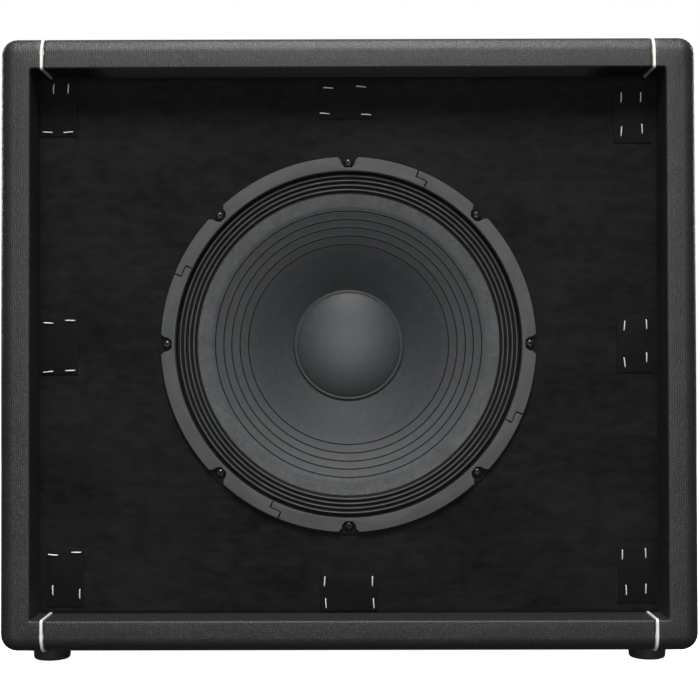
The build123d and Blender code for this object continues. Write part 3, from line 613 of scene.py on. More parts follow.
VINYL = vinyl_finish()
BACK_VINYL = back_vinyl_finish()
PIPING = piping_finish()
BAFFLE = baffle_finish()
CONE = cone_finish()
DOPE = doped_finish()
GASKET = gasket_finish()
CAP_PAPER = cap_finish()
BASKET = plain_finish("basket_paint", "basket_paint", grey(0.002), grey(0.0045), 1.0 * MM, (0.6, 0.75),
                      0.03 * MM,
                       Specular_IOR_Level=0.15)
BLACK_STEEL = plain_finish("black_steel", "black_steel", grey(0.003), grey(0.008), 0.6 * MM, (0.24, 0.36),
                           0.01 * MM,
                           Specular_IOR_Level=0.55, Coat_Weight=0.15, Coat_Roughness=0.15)
TAPE = plain_finish("hook_tape", "hook_tape", grey(0.003), grey(0.0075), 0.9 * MM, (0.6, 0.75), 0.08 * MM,
                    Specular_IOR_Level=0.12)
# bright plated wire, given a near-white, barely metallic colour that also stands in for the lamp's reflection as
# a painted highlight
STAPLE = metal_finish("staple_wire", "staple_wire", (0.96, 0.96, 0.95), (0.35, 0.5), 0.4 * MM, metallic=0.1)
RUBBER = plain_finish("foot_rubber", "foot_rubber", grey(0.018), grey(0.034), 1.5 * MM, (0.55, 0.72),
                      0.05 * MM)
PLASTIC = plain_finish("handle_plastic", "handle_plastic", grey(0.014), grey(0.026), 0.7 * MM, (0.4, 0.52),
                       0.05 * MM)
NICKEL = metal_finish("nickel_plate", "nickel_trim", (0.72, 0.70, 0.66), (0.16, 0.3))
ZINC = metal_finish("zinc_plate", "zinc_steel", (0.62, 0.63, 0.64), (0.3, 0.45), 2 * MM)
BLACK_PLATE = plain_finish("black_plate", "black_plate", grey(0.012), grey(0.024), 0.5 * MM, (0.4, 0.55),
                           0.06 * MM)
JACK_BLACK = plain_finish("jack_body", "jack_plastic", grey(0.012), grey(0.022), 0.8 * MM, (0.35, 0.5),
                          0.03 * MM)
STRAP = plain_finish("strap_vinyl", "strap_vinyl", grey(0.016), grey(0.034), 1.3 * MM, (0.42, 0.6), 0.22 * MM,
                     Specular_IOR_Level=0.45)
PLYWOOD = ply_finish()
PINE = plain_finish("pine_batten", "pine", (0.5, 0.34, 0.17), (0.72, 0.54, 0.32), 1.5 * MM, (0.6, 0.75),
                    0.06 * MM,
                    stretch=(8, 1, 1))
SPIDER = plain_finish("spider_cloth", "spider_cloth", (0.30, 0.20, 0.07), (0.46, 0.33, 0.13), 0.6 * MM,
                      (0.7, 0.85),
                      0.08 * MM)
FERRITE = plain_finish("ferrite", "ferrite", grey(0.03), grey(0.055), 0.6 * MM, (0.55, 0.7), 0.03 * MM)
FORMER = plain_finish("former_film", "former_film", (0.35, 0.16, 0.03), (0.48, 0.24, 0.06), 2 * MM,
                      (0.25, 0.35),
                      0.02 * MM)
COPPER = metal_finish("copper_wire", "copper_wire", (0.72, 0.30, 0.13), (0.25, 0.4), 0.4 * MM,
                      stretch=(1, 12, 1))
PHENOLIC = plain_finish("phenolic_board", "phenolic_board", (0.17, 0.07, 0.02), (0.27, 0.12, 0.04), 1.2 * MM,
                        (0.4, 0.55), 0.03 * MM)
TINNED = metal_finish("tinned_brass", "tinned_brass", (0.68, 0.66, 0.60), (0.25, 0.4))
TINSEL = metal_finish("tinsel_braid", "tinsel", (0.74, 0.62, 0.44), (0.3, 0.45), 0.35 * MM)
BLACK_LEAD = plain_finish("black_insulation", "black_insulation", grey(0.012), grey(0.022), 1.5 * MM,
                          (0.35, 0.5),
                          0.02 * MM)
RED_LEAD = plain_finish("red_insulation", "red_insulation", (0.36, 0.016, 0.012), (0.48, 0.03, 0.02),
                        1.5 * MM,
                        (0.35, 0.5), 0.02 * MM)


# ---------------------------------------------------------------- vinyl covering

INNER_EDGE_RADIUS = 1.6 * MM
CORNER_RADIUS = 1.8 * MM
VINYL_THICKNESS = 0.7 * MM
FRONT_BOW = 0.45 * MM
wall_depth = half_width - half_opening


def wall_profile(arc_steps=12, flat_steps=4):
    """The line of the covering over a wall, from the baffle round the front and the rear to the back panel.

    Each point is (inward, y, normal outward, normal y, length): how far it lies inward of the outer face,
    its normal, and the covering's length from the line where the front's rounded edge begins.
    """
    def arc(inward, y, radius, start, end):
        for step in range(arc_steps + 1):
            angle = math.radians(start + (end - start) * step / arc_steps)
            out, back = math.cos(angle), math.sin(angle)
            line.append((inward - radius * out, y + radius * back, out, back))

    def bow(inward, out):
        share = (inner - inward) / (inner - EDGE_RADIUS)
        return FRONT_BOW * max(0.0, min(1.0, share)) ** 2 * (1 - max(0.0, out))

    line = []
    inner = wall_depth - INNER_EDGE_RADIUS
    line.append((wall_depth, baffle_front, -1, 0))
    line.append((wall_depth, (baffle_front + front) / 2, -1, 0))
    line.append((wall_depth, front + INNER_EDGE_RADIUS + MM, -1, 0))
    arc(inner, front + INNER_EDGE_RADIUS, INNER_EDGE_RADIUS, 180, 270)
    for step in range(flat_steps + 1):
        line.append((inner - MM - (inner - EDGE_RADIUS - 2 * MM) * step / flat_steps, front, 0, -1))
    arc(EDGE_RADIUS, front + EDGE_RADIUS, EDGE_RADIUS, -90, 0)
    for step in range(flat_steps + 1):
        start, end = front + EDGE_RADIUS + MM, rear - EDGE_RADIUS - MM
        line.append((0, start + (end - start) * step / flat_steps, 1, 0))
    arc(EDGE_RADIUS, rear - EDGE_RADIUS, EDGE_RADIUS, 0, 90)
    for step in range(flat_steps + 1):
        line.append((EDGE_RADIUS + MM + (inner - EDGE_RADIUS - 2 * MM) * step / flat_steps, rear, 0, 1))
    arc(inner, rear - INNER_EDGE_RADIUS, INNER_EDGE_RADIUS, 90, 180)
    line.append((wall_depth, back_outer, -1, 0))
    line = [(inward, y + bow(inward, out) if back < 0 else y, out, back) for inward, y, out, back in line]
    places = np.array([point[:2] for point in line])
    steps = np.linalg.norm(np.diff(places, axis=0), axis=1)
    length = np.concatenate([[0], np.cumsum(steps)])
    start = next(k for k, point in enumerate(line) if point[0] <= EDGE_RADIUS + 1e-9)
    length -= length[start]
    return [(*point, along) for point, along in zip(line, length)]


PROFILE = wall_profile()


def edge_dip(distance):
    """How far the vinyl's edge is pressed down beside a bead, by the distance from the edge."""
    return 0.5 * MM * math.exp(-((distance / (0.9 * MM)) ** 2))


class Column:
    """One line of a sheet across a wall. It says where each point of the profile goes, and its weave place."""

    def __init__(self, chart, share, limit, turn=0.0, dip=0.0):
        self.chart, self.share, self.limit, self.turn, self.dip = chart, share, limit, turn, dip

    def point(self, inward, y, out, back, length, depth):
        """depth is how far under the outer surface the point lies."""
        bend = max(EDGE_RADIUS - inward, CORNER_RADIUS)
        centre_x, centre_z = half_width - inward - bend, half_height - inward - bend
        sink = depth + self.dip * (1 if depth == 0 else 0)
        level = bend - sink * out
        angle = math.radians(self.turn)
        if self.chart == "level":
            x = self.limit + (centre_x - self.limit) * self.share if self.turn == 0 else centre_x
            x += level * math.sin(angle)
            z = centre_z + level * math.cos(angle)
            over = centre_x + bend * angle if self.turn else x
            place = (over, corner_z + length)
        else:
            z = centre_z * self.share if self.turn == 90 else centre_z
            z += level * math.cos(angle)
            x = centre_x + level * math.sin(angle)
            over = centre_z + bend * (math.pi / 2 - angle) if self.turn != 90 else z
            place = (corner_x + length, over)
        return (x, y - sink * back, z), place


def sheet_mesh(name, columns, node):
    """A closed sheet over columns, each (mirror in x, mirror in z, Column)."""
    rows = [(*point, 0.0) for point in PROFILE] + [(*point, VINYL_THICKNESS) for point in reversed(PROFILE)]
    points, places = [], []
    for mirror_x, mirror_z, column in columns:
        for row in rows:
            (x, y, z), (along, across) = column.point(*row)
            points.append((mirror_x * x, y, middle + mirror_z * z))
            places.append((mirror_x * along, mirror_z * across))
    faces = grid_faces(len(columns), len(rows), loop_columns=True)
    faces += ends(points, len(rows))
    piece = add_mesh(name, points, faces, VINYL, node, crease=50)
    layer = piece.data.uv_layers.new(name="weave")
    for loop in piece.data.loops:
        layer.data[loop.index].uv = places[loop.vertex_index]
    return piece


def stations(length, edge_steps=(0, 0.5, 1.1, 2.0, 4.0), spacing=40):
    """Places along a sheet between its two seams, close together beside each."""
    near = [step * MM for step in edge_steps]
    count = max(2, round((length / MM - 8) / spacing))
    inside = np.linspace(4 * MM, length - 4 * MM, count + 1)[1:-1]
    return near + list(inside) + [length - step for step in reversed(near)]


def level_sheet(name, side, node):
    """The top or bottom sheet, which ends at a bead on each side."""
    columns = []
    for place in stations(2 * level_seam):
        x = place - level_seam
        dip = edge_dip(min(place, 2 * level_seam - place))
        columns.append((1, side, Column("level", 0, x, dip=dip)))
    return sheet_mesh(name, columns, node)


def side_sheet(name, side, node):
    """A side sheet, which wraps the top and bottom corners as far as the beads."""
    stub = [0, 0.5, 1.1, 2.0, 4.0, 8.0]
    reach = corner_x - seam
    turns = [15, 30, 45, 60, 75]

    def half(mirror_z):
        made = []
        for step in stub:
            made.append((side, mirror_z, Column("level", step * MM / reach, seam, dip=edge_dip(step * MM))))
        made.append((side, mirror_z, Column("level", 1, seam)))
        made += [(side, mirror_z, Column("level", 1, seam, turn)) for turn in turns if turn <= 45]
        made += [(side, mirror_z, Column("side", 1, 0, turn)) for turn in turns if turn >= 45]
        return made

    columns = half(1)
    columns += [(side, 1, Column("side", share, 0, 90)) for share in np.linspace(1, -1, 13)]
    columns += list(reversed(half(-1)))
    return sheet_mesh(name, columns, node)


level_sheet("covering_top", 1, "top_vinyl")
level_sheet("covering_bottom", -1, "bottom_vinyl")
side_sheet("covering_left", -1, "left_vinyl")
side_sheet("covering_right", 1, "right_vinyl")


# ---------------------------------------------------------------- piping

BEAD_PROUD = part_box("piping_top_left")[1].z - outer_high.z
BEAD_ROOT = 0.6 * MM


def bead(node, side, level):
    """A white bead that follows a seam over the front and rear edges, slightly uneven as it was pressed in."""
    low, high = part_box(node)
    centre, half = (low.x + high.x) / 2, (high.x - low.x) / 2 - 0.06 * MM
    shape = []
    for step in range(13):
        angle = math.pi * step / 12
        shape.append((half * math.cos(angle), (BEAD_PROUD - 0.05 * MM) * math.sin(angle) ** 0.8))
    shape += [(-half * 0.96, -BEAD_ROOT), (half * 0.96, -BEAD_ROOT)]
    phase = 1.7 * side + 0.9 * level
    rings = []
    for inward, y, out, back, length in PROFILE:
        sway = 0.10 * MM * math.sin(length / (21 * MM) + phase)
        swell = 1 + 0.04 * math.sin(length / (13 * MM) + 2 * phase)
        for across, up in shape:
            height = (up * swell if up > 0 else up)
            rings.append((centre + across * swell + sway, y + height * back,
                          middle + level * (half_height - inward + height * out)))
    count = len(shape)
    faces = grid_faces(len(PROFILE), count, loop_columns=True)
    faces += ends(rings, count)
    return add_mesh(node.replace("piping", "bead"), rings, faces, PIPING, node, crease=60)


for level_name, level in (("top", 1), ("bottom", -1)):
    for side_name, side in (("left", -1), ("right", 1)):
        bead(f"piping_{level_name}_{side_name}", side, level)


# ---------------------------------------------------------------- hook tape pads and staples

def hook(x, z, surface, lean):
    """One small hook of the tape: a stem that bends over."""
    width, height, reach = 0.22 * MM, 0.62 * MM, 0.34 * MM
    line = [(0, 0), (0.1, 0.55), (0.35, 0.95), (0.85, 1.0), (1.0, 0.72)]
    points = []
    for along, up in line:
        centre_z = z + lean * along * reach
        y = surface - up * height
        points += [(x - width / 2, y, centre_z - width / 2), (x + width / 2, y, centre_z - width / 2),
                   (x + width / 2, y, centre_z + width / 2), (x - width / 2, y, centre_z + width / 2)]
    faces = grid_faces(len(line), 4, loop_columns=True)
    faces.append((len(points) - 4, len(points) - 3, len(points) - 2, len(points) - 1))
    return points, faces


def tape_pads():
    """Cut pieces of hook tape: a woven backing with rounded, slightly uneven edges, and rows of hooks."""
    rng = random.Random(3)
    parts = []
    pitch, backing = 1.55 * MM, 1.0 * MM
    for low, high in islands("grille_pads"):
        outline = []
        corners = [(low[0], low[2]), (high[0], low[2]), (high[0], high[2]), (low[0], high[2])]
        for (x0, z0), (x1, z1) in zip(corners, corners[1:] + corners[:1]):
            for step in range(12):
                share = step / 12
                outline.append((x0 + (x1 - x0) * share, z0 + (z1 - z0) * share))
        centre_x, centre_z = (low[0] + high[0]) / 2, (low[2] + high[2]) / 2
        outline = [(x + (centre_x - x) * 0.012 * rng.random(), z + (centre_z - z) * 0.012 * rng.random())
                   for x, z in outline]
        parts.append(prism(outline, baffle_front - backing, baffle_front, 0.25 * MM))
        for i in range(int((high[0] - low[0]) / pitch) - 1):
            for j in range(int((high[2] - low[2]) / pitch) - 1):
                x = low[0] + (i + 1) * pitch + rng.uniform(-0.15, 0.15) * MM
                z = low[2] + (j + 1) * pitch + rng.uniform(-0.15, 0.15) * MM
                parts.append(hook(x, z, baffle_front - backing + 0.03 * MM, rng.choice((-1, 1))))
    return add_mesh("hook_tape_pads", *join(parts), TAPE, "grille_pads")


def staples():
    """Wire staples driven through the pads, each a little askew."""
    rng = random.Random(8)
    parts = []
    wire = 0.62 * MM
    for low, high in islands("pad_staples"):
        upright = high[2] - low[2] > high[0] - low[0]
        crown = max(high[0] - low[0], high[2] - low[2]) / 2 - wire
        seat = low[1] + wire + 0.1 * MM
        bend = 0.9 * MM
        line = [(-crown, 3.0 * MM), (-crown, bend)]
        line += [(-crown + bend * (1 - math.cos(a)), bend * (1 - math.sin(a)))
                 for a in np.linspace(0.3, math.pi / 2, 4)]
        line += [(0, -0.12 * MM)]
        line += [(crown - bend * (1 - math.cos(a)), bend * (1 - math.sin(a)))
                 for a in np.linspace(math.pi / 2, 0.3, 4)]
        line += [(crown, bend), (crown, 3.0 * MM)]
        turn = (math.pi / 2 if upright else 0) + math.radians(rng.uniform(-6, 6))
        centre = (low + high) / 2
        path = []
        for along, deep in line:
            path.append((centre[0] + along * math.cos(turn), seat + deep, centre[2] + along * math.sin(turn)))
        across = (-math.sin(turn), 0, math.cos(turn))
        parts.append(tube(path, wire, 10, 0.8, up=across))
    return add_mesh("wire_staples", *join(parts), STAPLE, "pad_staples")


tape_pads()
staples()


# ---------------------------------------------------------------- speaker

gasket_front, gasket_rear = (corner.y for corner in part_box("gasket_segments"))
GASKET_OUTER = 153.2 * MM
GASKET_INNER = 141.9 * MM
NOTCH = [(-8.6, 154.5), (-5.9, 150.2), (-5.4, 147.4), (-3.0, 144.5)]
JOINT_RADIUS = 147.5 * MM
JOINT_STEP = 9.4 * MM
JOINT_WIDTH = 1.0 * MM
JOINT_GAP = 0.6 * MM
JOINT_ANGLE = 66


def around(radius, angle):
    """A point in X and Z at a radius and an angle in radians, counter-clockwise from +X seen from the front."""
    return radius * math.cos(angle), middle + radius * math.sin(angle)


def notch_points(angle):
    """The outline of one notch in the gasket's outer edge, in the order of a clockwise walk round the gasket."""
    outline = NOTCH + [(-x, r) for x, r in reversed(NOTCH)]
    curve = rounded(outline, [0, 2.0, 1.0, 1.0, 1.0, 1.0, 2.0, 0], steps=5, closed=False)
    result = []
    for x, r in curve:
        reach = math.hypot(x, r) * MM
        if reach < GASKET_OUTER:
            result.append((reach, angle - math.atan2(x, r)))
    return result


def arc_points(radius, start, end, spacing=2.2 * MM):
    count = max(2, round(abs(end - start) * radius / spacing))
    return [(radius, start + (end - start) * step / count) for step in range(count + 1)]


def gasket_segment(index):
    """One of the four fibre segments between two stepped joints, with its two notches."""
    turn = JOINT_STEP / JOINT_RADIUS
    first = math.radians(JOINT_ANGLE + 90 * index)
    last = first + math.pi / 2
    outer_start = first + turn / 2 + JOINT_WIDTH / 2 / GASKET_OUTER
    outer_end = last + turn / 2 - JOINT_WIDTH / 2 / GASKET_OUTER
    inner_start = first - turn / 2 + JOINT_WIDTH / 2 / GASKET_INNER
    inner_end = last - turn / 2 - JOINT_WIDTH / 2 / GASKET_INNER
    low_step, high_step = JOINT_RADIUS - JOINT_GAP / 2, JOINT_RADIUS + JOINT_GAP / 2
    walk = [(GASKET_OUTER, outer_start)]
    at = outer_start
    notches = [math.pi / 4 * k for k in range(20) if outer_start < math.pi / 4 * k < outer_end]
    for notch in notches:
        edge = list(reversed(notch_points(notch)))
        edge.sort(key=lambda point: point[1])
        walk += arc_points(GASKET_OUTER, at, edge[0][1])[1:-1] + edge
        at = edge[-1][1]
    walk += arc_points(GASKET_OUTER, at, outer_end)[1:]
    walk += [(high_step, outer_end)] + arc_points(high_step, outer_end, inner_end)[1:]
    walk += [(GASKET_INNER, inner_end)] + arc_points(GASKET_INNER, inner_end, inner_start)[1:]
    walk += [(low_step, inner_start)] + arc_points(low_step, inner_start, outer_start)[1:]
    return [around(radius, angle) for radius, angle in walk]


def gasket():
    parts = [prism(gasket_segment(index), gasket_front, gasket_rear, 0.45 * MM) for index in range(4)]
    return add_mesh("speaker_gasket", *join(parts), GASKET, "gasket_segments")


def cross_head(radius, height, arm, width, deep, dome=0.5, rings=22, turns=72):
    """A round screw head with a cross recess, standing on the XY plane with its top towards +Z."""
    points = []
    for ring in range(rings + 1):
        share = (ring + 0.5) / (rings + 0.5)
        top = height * (1 - dome * share ** 2.6)
        for angle in full_turn(turns):
            x, y = radius * share * math.cos(angle), radius * share * math.sin(angle)
            along, across = max(abs(x), abs(y)), min(abs(x), abs(y))
            wide = width / 2 * (1 - 0.35 * along / arm)
            side = 1 / (1 + math.exp((across - wide) / (0.05 * width)))
            reach = 1 / (1 + math.exp((along - arm) / (0.06 * arm)))
            points.append((x, y, top - deep * side * reach * (1 - 0.45 * along / arm)))
    for z in (height * (1 - dome) * 0.35, -0.2 * MM):
        for angle in full_turn(turns):
            points.append((radius * math.cos(angle), radius * math.sin(angle), z))
    faces = grid_faces(rings + 3, turns, loop_columns=True)
    faces += ends(points, turns)
    return points, faces


def heads(name, node, facing, head, finish, seed, crown):
    """The same screw head on every solid of a node of screws, each turned its own way. crown is its height."""
    rng = random.Random(seed)
    parts = []
    turn_to = Vector((0, 0, 1)).rotation_difference(Vector(facing)).to_matrix().to_4x4()
    axis = max(range(3), key=lambda k: abs(facing[k]))
    for low, high in islands(node):
        centre = (low + high) / 2
        seat = low[axis] + crown if facing[axis] < 0 else high[axis] - crown
        centre[axis] = seat
        matrix = Matrix.Translation(centre) @ turn_to @ Matrix.Rotation(rng.uniform(0, math.pi), 4, "Z")
        parts.append(placed(head, matrix))
    return add_mesh(name, *join(parts), finish, node, crease=50)


def surround():
    """The corrugated edge of the cone, with four rolls."""
    half = 0.3
    steps = [144.4, 143, 142.2] + list(np.linspace(141.6, 123.4, 140))

    def depth(radius):
        rolls = -0.2 - 1.2 * math.cos(2 * math.pi * (FIRST_ROLL - radius) / ROLL_PITCH)
        trough = 1.6 * smooth(radius, 138.2, 139.6)
        seat = smooth(radius, 140.7, 141.5)
        end = smooth(radius, 123.4, 124.4)
        return seat * -1.9 + (1 - seat) * (rolls * end + 0.9 * (1 - end) + trough)

    face = [((depth(radius) - half) * MM, radius * MM) for radius in steps]
    back = [((depth(radius) + half) * MM, radius * MM) for radius in reversed(steps)]
    points, faces = lathe(face + back, turns=288)
    piece = add_mesh("doped_surround", points, faces, DOPE, "surround", body=None)
    flex(piece, lambda at: smooth(radius_of(at), 141.0 * MM, 124.0 * MM))


def smooth(value, start, end):
    """0 at start, 1 at end and a smooth step between them."""
    share = max(0.0, min(1.0, (value - start) / (end - start)))
    return share * share * (3 - 2 * share)


def radius_of(at):
    """How far a point is from the speaker's axis."""
    return math.hypot(at[0], at[2] - middle)


def flex(piece, weight):
    """Bakes the piece's placement into its mesh and works out a weight of 0 to 1 at each point; the weights are
    not used.
    """
    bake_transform(piece)
    weights = [weight(vertex.co) for vertex in piece.data.vertices]


def circle_through(a, b, c):
    """The centre and radius of the circle through three points."""
    (ax, ay), (bx, by), (cx, cy) = a, b, c
    d = 2 * (ax * (by - cy) + bx * (cy - ay) + cx * (ay - by))
    squares = [x * x + y * y for x, y in (a, b, c)]
    ux = (squares[0] * (by - cy) + squares[1] * (cy - ay) + squares[2] * (ay - by)) / d
    uy = (squares[0] * (cx - bx) + squares[1] * (ax - cx) + squares[2] * (bx - ax)) / d
    return (ux, uy), math.hypot(ax - ux, ay - uy)


LIP_DEPTH, LIP_RADIUS = 0.6, 123.0
CONE_OUTER, CONE_HALF_WAY, CONE_NECK = (2.0, 112.8), (24.0, 72.0), (56.0, 26.2)
CAP_RADIUS, CAP_EDGE_DEPTH, CAP_RISE = 47.0, 39.6, 10.0
(arc_depth, arc_radius), arc_size = circle_through(CONE_OUTER, CONE_HALF_WAY, CONE_NECK)


def cone_depth(radius):
    """Depth of the cone's face behind the baffle's face, in millimetres."""
    if radius >= CONE_OUTER[1]:
        share = (LIP_RADIUS + 0.4 - radius) / (LIP_RADIUS + 0.4 - CONE_OUTER[1])
        return LIP_DEPTH - 0.3 + (CONE_OUTER[0] - LIP_DEPTH + 0.3) * share
    return arc_depth - math.sqrt(arc_size ** 2 - (radius - arc_radius) ** 2)


def cone():
    """The paper cone with five fine pressed grooves."""
    radii = set(np.linspace(26.2, 112.8, 60)) | set(np.linspace(112.8, 123.4, 12))
    for groove in GROOVES:
        radii |= set(groove + offset for offset in np.linspace(-1.2, 1.2, 13))
    radii = sorted(radii)

    def pressed(radius):
        dents = sum(0.55 * math.exp(-(((radius - groove) / 0.36) ** 2)) for groove in GROOVES)
        folds = sum(0.16 * math.exp(-(((radius - groove) / 1.1) ** 2)) for groove in GROOVES)
        return cone_depth(radius) + dents - folds

    face = [(pressed(radius) * MM, radius * MM) for radius in radii]
    back = [((cone_depth(radius) + 1.0) * MM, radius * MM) for radius in reversed(radii)]
    points, faces = lathe(face + back, turns=288)
    return add_mesh("paper_cone", points, faces, CONE, "cone", body="cone_and_coil")


def dust_cap():
    """A shallow felted dome with a pressed rim, stuck to the cone by a bead of glue."""
    sphere = (CAP_RADIUS ** 2 + CAP_RISE ** 2) / (2 * CAP_RISE)
    face = []
    for radius in list(np.linspace(0.01, 43.6, 40)) + list(np.linspace(43.9, CAP_RADIUS, 14)):
        depth = CAP_EDGE_DEPTH - CAP_RISE + sphere - math.sqrt(sphere ** 2 - radius ** 2)
        rim = 0.55 * math.exp(-(((radius - 45.6) / 0.9) ** 2)) - 0.35 * math.exp(-(((radius - 43.9) / 0.7) ** 2))
        face.append(((depth - rim) * MM, radius * MM))
    back = [(depth + 0.7 * MM, radius) for depth, radius in reversed(face)]
    points, faces = lathe(face + back, turns=240)
    return add_mesh("felt_dust_cap", points, faces, CAP_PAPER, "dust_cap", body="cone_and_coil")


gasket()
surround()
cone()
dust_cap()
heads("speaker_screw_heads", "speaker_screws", (0, -1, 0),
      cross_head(3.6 * MM, 2.6 * MM, 2.0 * MM, 0.95 * MM, 1.5 * MM), BLACK_STEEL, 5, 2.6 * MM)


# ---------------------------------------------------------------- speaker, behind the cone

def spider():
    """The corrugated cloth disc that centres the coil."""
    inner, outer, half = 26.35, 70.0, 0.25

    def depth(radius):
        waves = math.cos(2 * math.pi * (radius - 32) / 5.0)
        ends = smooth(radius, 27.5, 33) * smooth(radius, 58.5, 55)
        return 61.2 + 1.0 * waves * ends

    radii = list(np.linspace(outer, inner, 110))
    face = [((depth(radius) - half) * MM, radius * MM) for radius in radii]
    back = [((depth(radius) + half) * MM, radius * MM) for radius in reversed(radii)]
    points, faces = lathe(face + back, turns=180)
    piece = add_mesh("cloth_spider", points, faces, SPIDER, "spider", body=None)
    flex(piece, lambda at: smooth(radius_of(at), 58.0 * MM, 28.0 * MM))


def spline(points, steps=10):
    """A smooth line through points."""
    points = [Vector(point) for point in points]
    points = [2 * points[0] - points[1]] + points + [2 * points[-1] - points[-2]]
    line = []
    for a, b, c, d in zip(points, points[1:], points[2:], points[3:]):
        for step in range(steps):
            t = step / steps
            line.append(0.5 * (2 * b + (c - a) * t + (2 * a - 5 * b + 4 * c - d) * t ** 2
                               + (3 * b - 3 * c + d - a) * t ** 3))
    return line + [points[-2]]


def tinsel_leads():
    """Two braided leads that run free from the terminal board to the cone."""
    route = [(16, 51.6, 91.9), (15.5, 53.6, 85.0), (14.5, 54.4, 76.5), (13, 53.0, 66.0), (11, 48.0, 57.5),
             (9, 40.2, 51.5)]
    parts = []
    for side in (-1, 1):
        path = spline([(side * x * MM, baffle_front + depth * MM, middle - drop * MM) for x, depth,
                       drop in route])
        parts.append(tube(path, 0.58 * MM, 14, up=(1, 0, 0)))
    points, faces = join(parts)
    piece = add_mesh("braided_leads", points, faces, TINSEL, "tinsel_leads", body=None)
    flex(piece, lambda at: smooth(middle - at.z, 88 * MM, 55 * MM))


spider()
tinsel_leads()


# ---------------------------------------------------------------- feet

def turned_piece(outline, radii, turns=96):
    """A ring turned about Z from a closed outline of radius and height in millimetres."""
    curve = rounded(outline, radii)
    points = []
    for radius, height in curve:
        for angle in full_turn(turns):
            points.append((radius * MM * math.cos(angle), radius * MM * math.sin(angle), height * MM))
    return points, grid_faces(len(curve), turns, loop_rows=True, loop_columns=True)


def cut_away(piece, cutters):
    """Takes boxes, each a low and a high corner, away from a piece."""
    shape = bmesh.new()
    for low, high in cutters:
        made = bmesh.ops.create_cube(shape, size=1)
        for vertex in made["verts"]:
            vertex.co = [a + (b - a) * (0.5 + at) for a, b, at in zip(low, high, vertex.co)]
    mesh = bpy.data.meshes.new("cutter")
    shape.to_mesh(mesh)
    shape.free()
    cutter = bpy.data.objects.new("cutter", mesh)
    bpy.context.scene.collection.objects.link(cutter)
    cut = piece.modifiers.new("cut", "BOOLEAN")
    cut.operation = "DIFFERENCE"
    cut.object = cutter
    graph = bpy.context.evaluated_depsgraph_get()
    result = bpy.data.meshes.new_from_object(piece.evaluated_get(graph))
    piece.modifiers.clear()
    piece.data = result
    bpy.data.objects.remove(cutter)
    result.set_sharp_from_angle(angle=math.radians(35))


def feet():
    """Four moulded rubber feet, with a groove in each for the bead that passes over it."""
    outline = [(8.0, 0), (15.0, 0), (16.2, 18.0), (2.5, 18.0), (2.5, 11.0), (8.0, 11.0)]
    foot = turned_piece(outline, [0.8, 2.4, 1.1, 0, 0, 0.6])
    boxes = islands("rubber_feet")
    centres = [((low[0] + high[0]) / 2, (low[1] + high[1]) / 2) for low, high in boxes]
    points, faces = join([placed(foot, Matrix.Translation((x, y, 0))) for x, y in centres])
    piece = add_mesh("moulded_feet", points, faces, RUBBER, "rubber_feet", crease=35)
    beads = [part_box("piping_bottom_left"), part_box("piping_bottom_right")]
    cut_away(piece, [((low.x - 0.2 * MM, front, outer_low.z - 1.6 * MM), (high.x + 0.2 * MM, rear,
                                                                          outer_low.z + MM))
                     for low, high in beads])


feet()


# ---------------------------------------------------------------- strap handle

top = outer_high.z


def handle_cap(name, node, side):
    """A moulded cap over one end of the strap, domed on top and open towards the middle."""
    low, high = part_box(node)
    centre_x, centre_y = (low.x + high.x) / 2, (low.y + high.y) / 2
    half_x, half_y = (high.x - low.x) / 2, (high.y - low.y) / 2
    height = high.z - low.z
    levels = [(0.0, 0.0), (0.04, 0.0), (0.45, 0.3), (0.72, 0.9)]
    levels += [(0.72 + 0.28 * math.sin(a), 0.9 + 4.6 * (1 - math.cos(a))) for a in np.linspace(0.2,
                                                                                               math.pi / 2, 9)]
    levels += [(1.0 + 0.012 * step, 5.5 + step) for step in (1, 3, 6, 9)]
    points, count = [], 0
    for share, shrink in levels:
        x, y = half_x - shrink * MM, half_y - shrink * MM
        corners = [(-x, -y), (x, -y), (x, y), (-x, y)]
        ring = rounded(corners, max(8.0 - 0.6 * shrink, 1.5) * MM, steps=10)
        count = len(ring)
        points += [(centre_x + a, centre_y + b, low.z + min(height, height * share * 0.99)) for a, b in ring]
    faces = grid_faces(len(levels), count, loop_columns=True)
    faces += ends(points, count)
    piece = add_mesh(name, points, faces, PLASTIC, node, crease=40)
    inner = low.x if side > 0 else high.x
    reach = inner + side * 40 * MM
    cut_away(piece, [((min(inner - side * 2 * MM, reach), centre_y - 14 * MM, low.z - MM),
                      (max(inner - side * 2 * MM, reach), centre_y + 14 * MM, low.z + 9 * MM))])


def strap():
    """The carrying strap: a padded grip with ribs, thinning to a flat tongue under each cap."""
    low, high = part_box("handle_strap")
    half_width_y = (high.y - low.y) / 2
    tongue_low, tongue_high = 1.0 * MM, 4.5 * MM
    shoulder = 86 * MM
    points, count = [], 0
    places = np.concatenate([np.linspace(-119, -86, 6), np.linspace(-84, 84, 85),
                             np.linspace(86, 119, 6)]) * MM
    for x in places:
        rise = max(0.0, 1 - (x / shoulder) ** 2)
        bottom = tongue_low + 8.4 * MM * rise
        crown = tongue_high + 12.8 * MM * rise
        thick = crown - bottom
        grip = smooth(abs(x), 74 * MM, 60 * MM)
        ring = rounded([(-half_width_y, bottom), (half_width_y, bottom), (half_width_y, crown),
                        (-half_width_y, crown)],
                       min(3.2 * MM, 0.42 * thick), steps=6)
        count = len(ring)
        for y, z in ring:
            ribs = 0.45 * MM * grip * (0.5 - 0.5 * math.cos(2 * math.pi * y / (2.6 * MM)))
            points.append((x, y, top + z - (ribs if z > crown - 0.6 * thick and abs(y) < 8 * MM else 0)))
    faces = grid_faces(len(places), count, loop_columns=True)
    faces += ends(points, count)
    piece = add_mesh("carrying_strap", points, faces, STRAP, "handle_strap", body=None)
    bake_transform(piece)


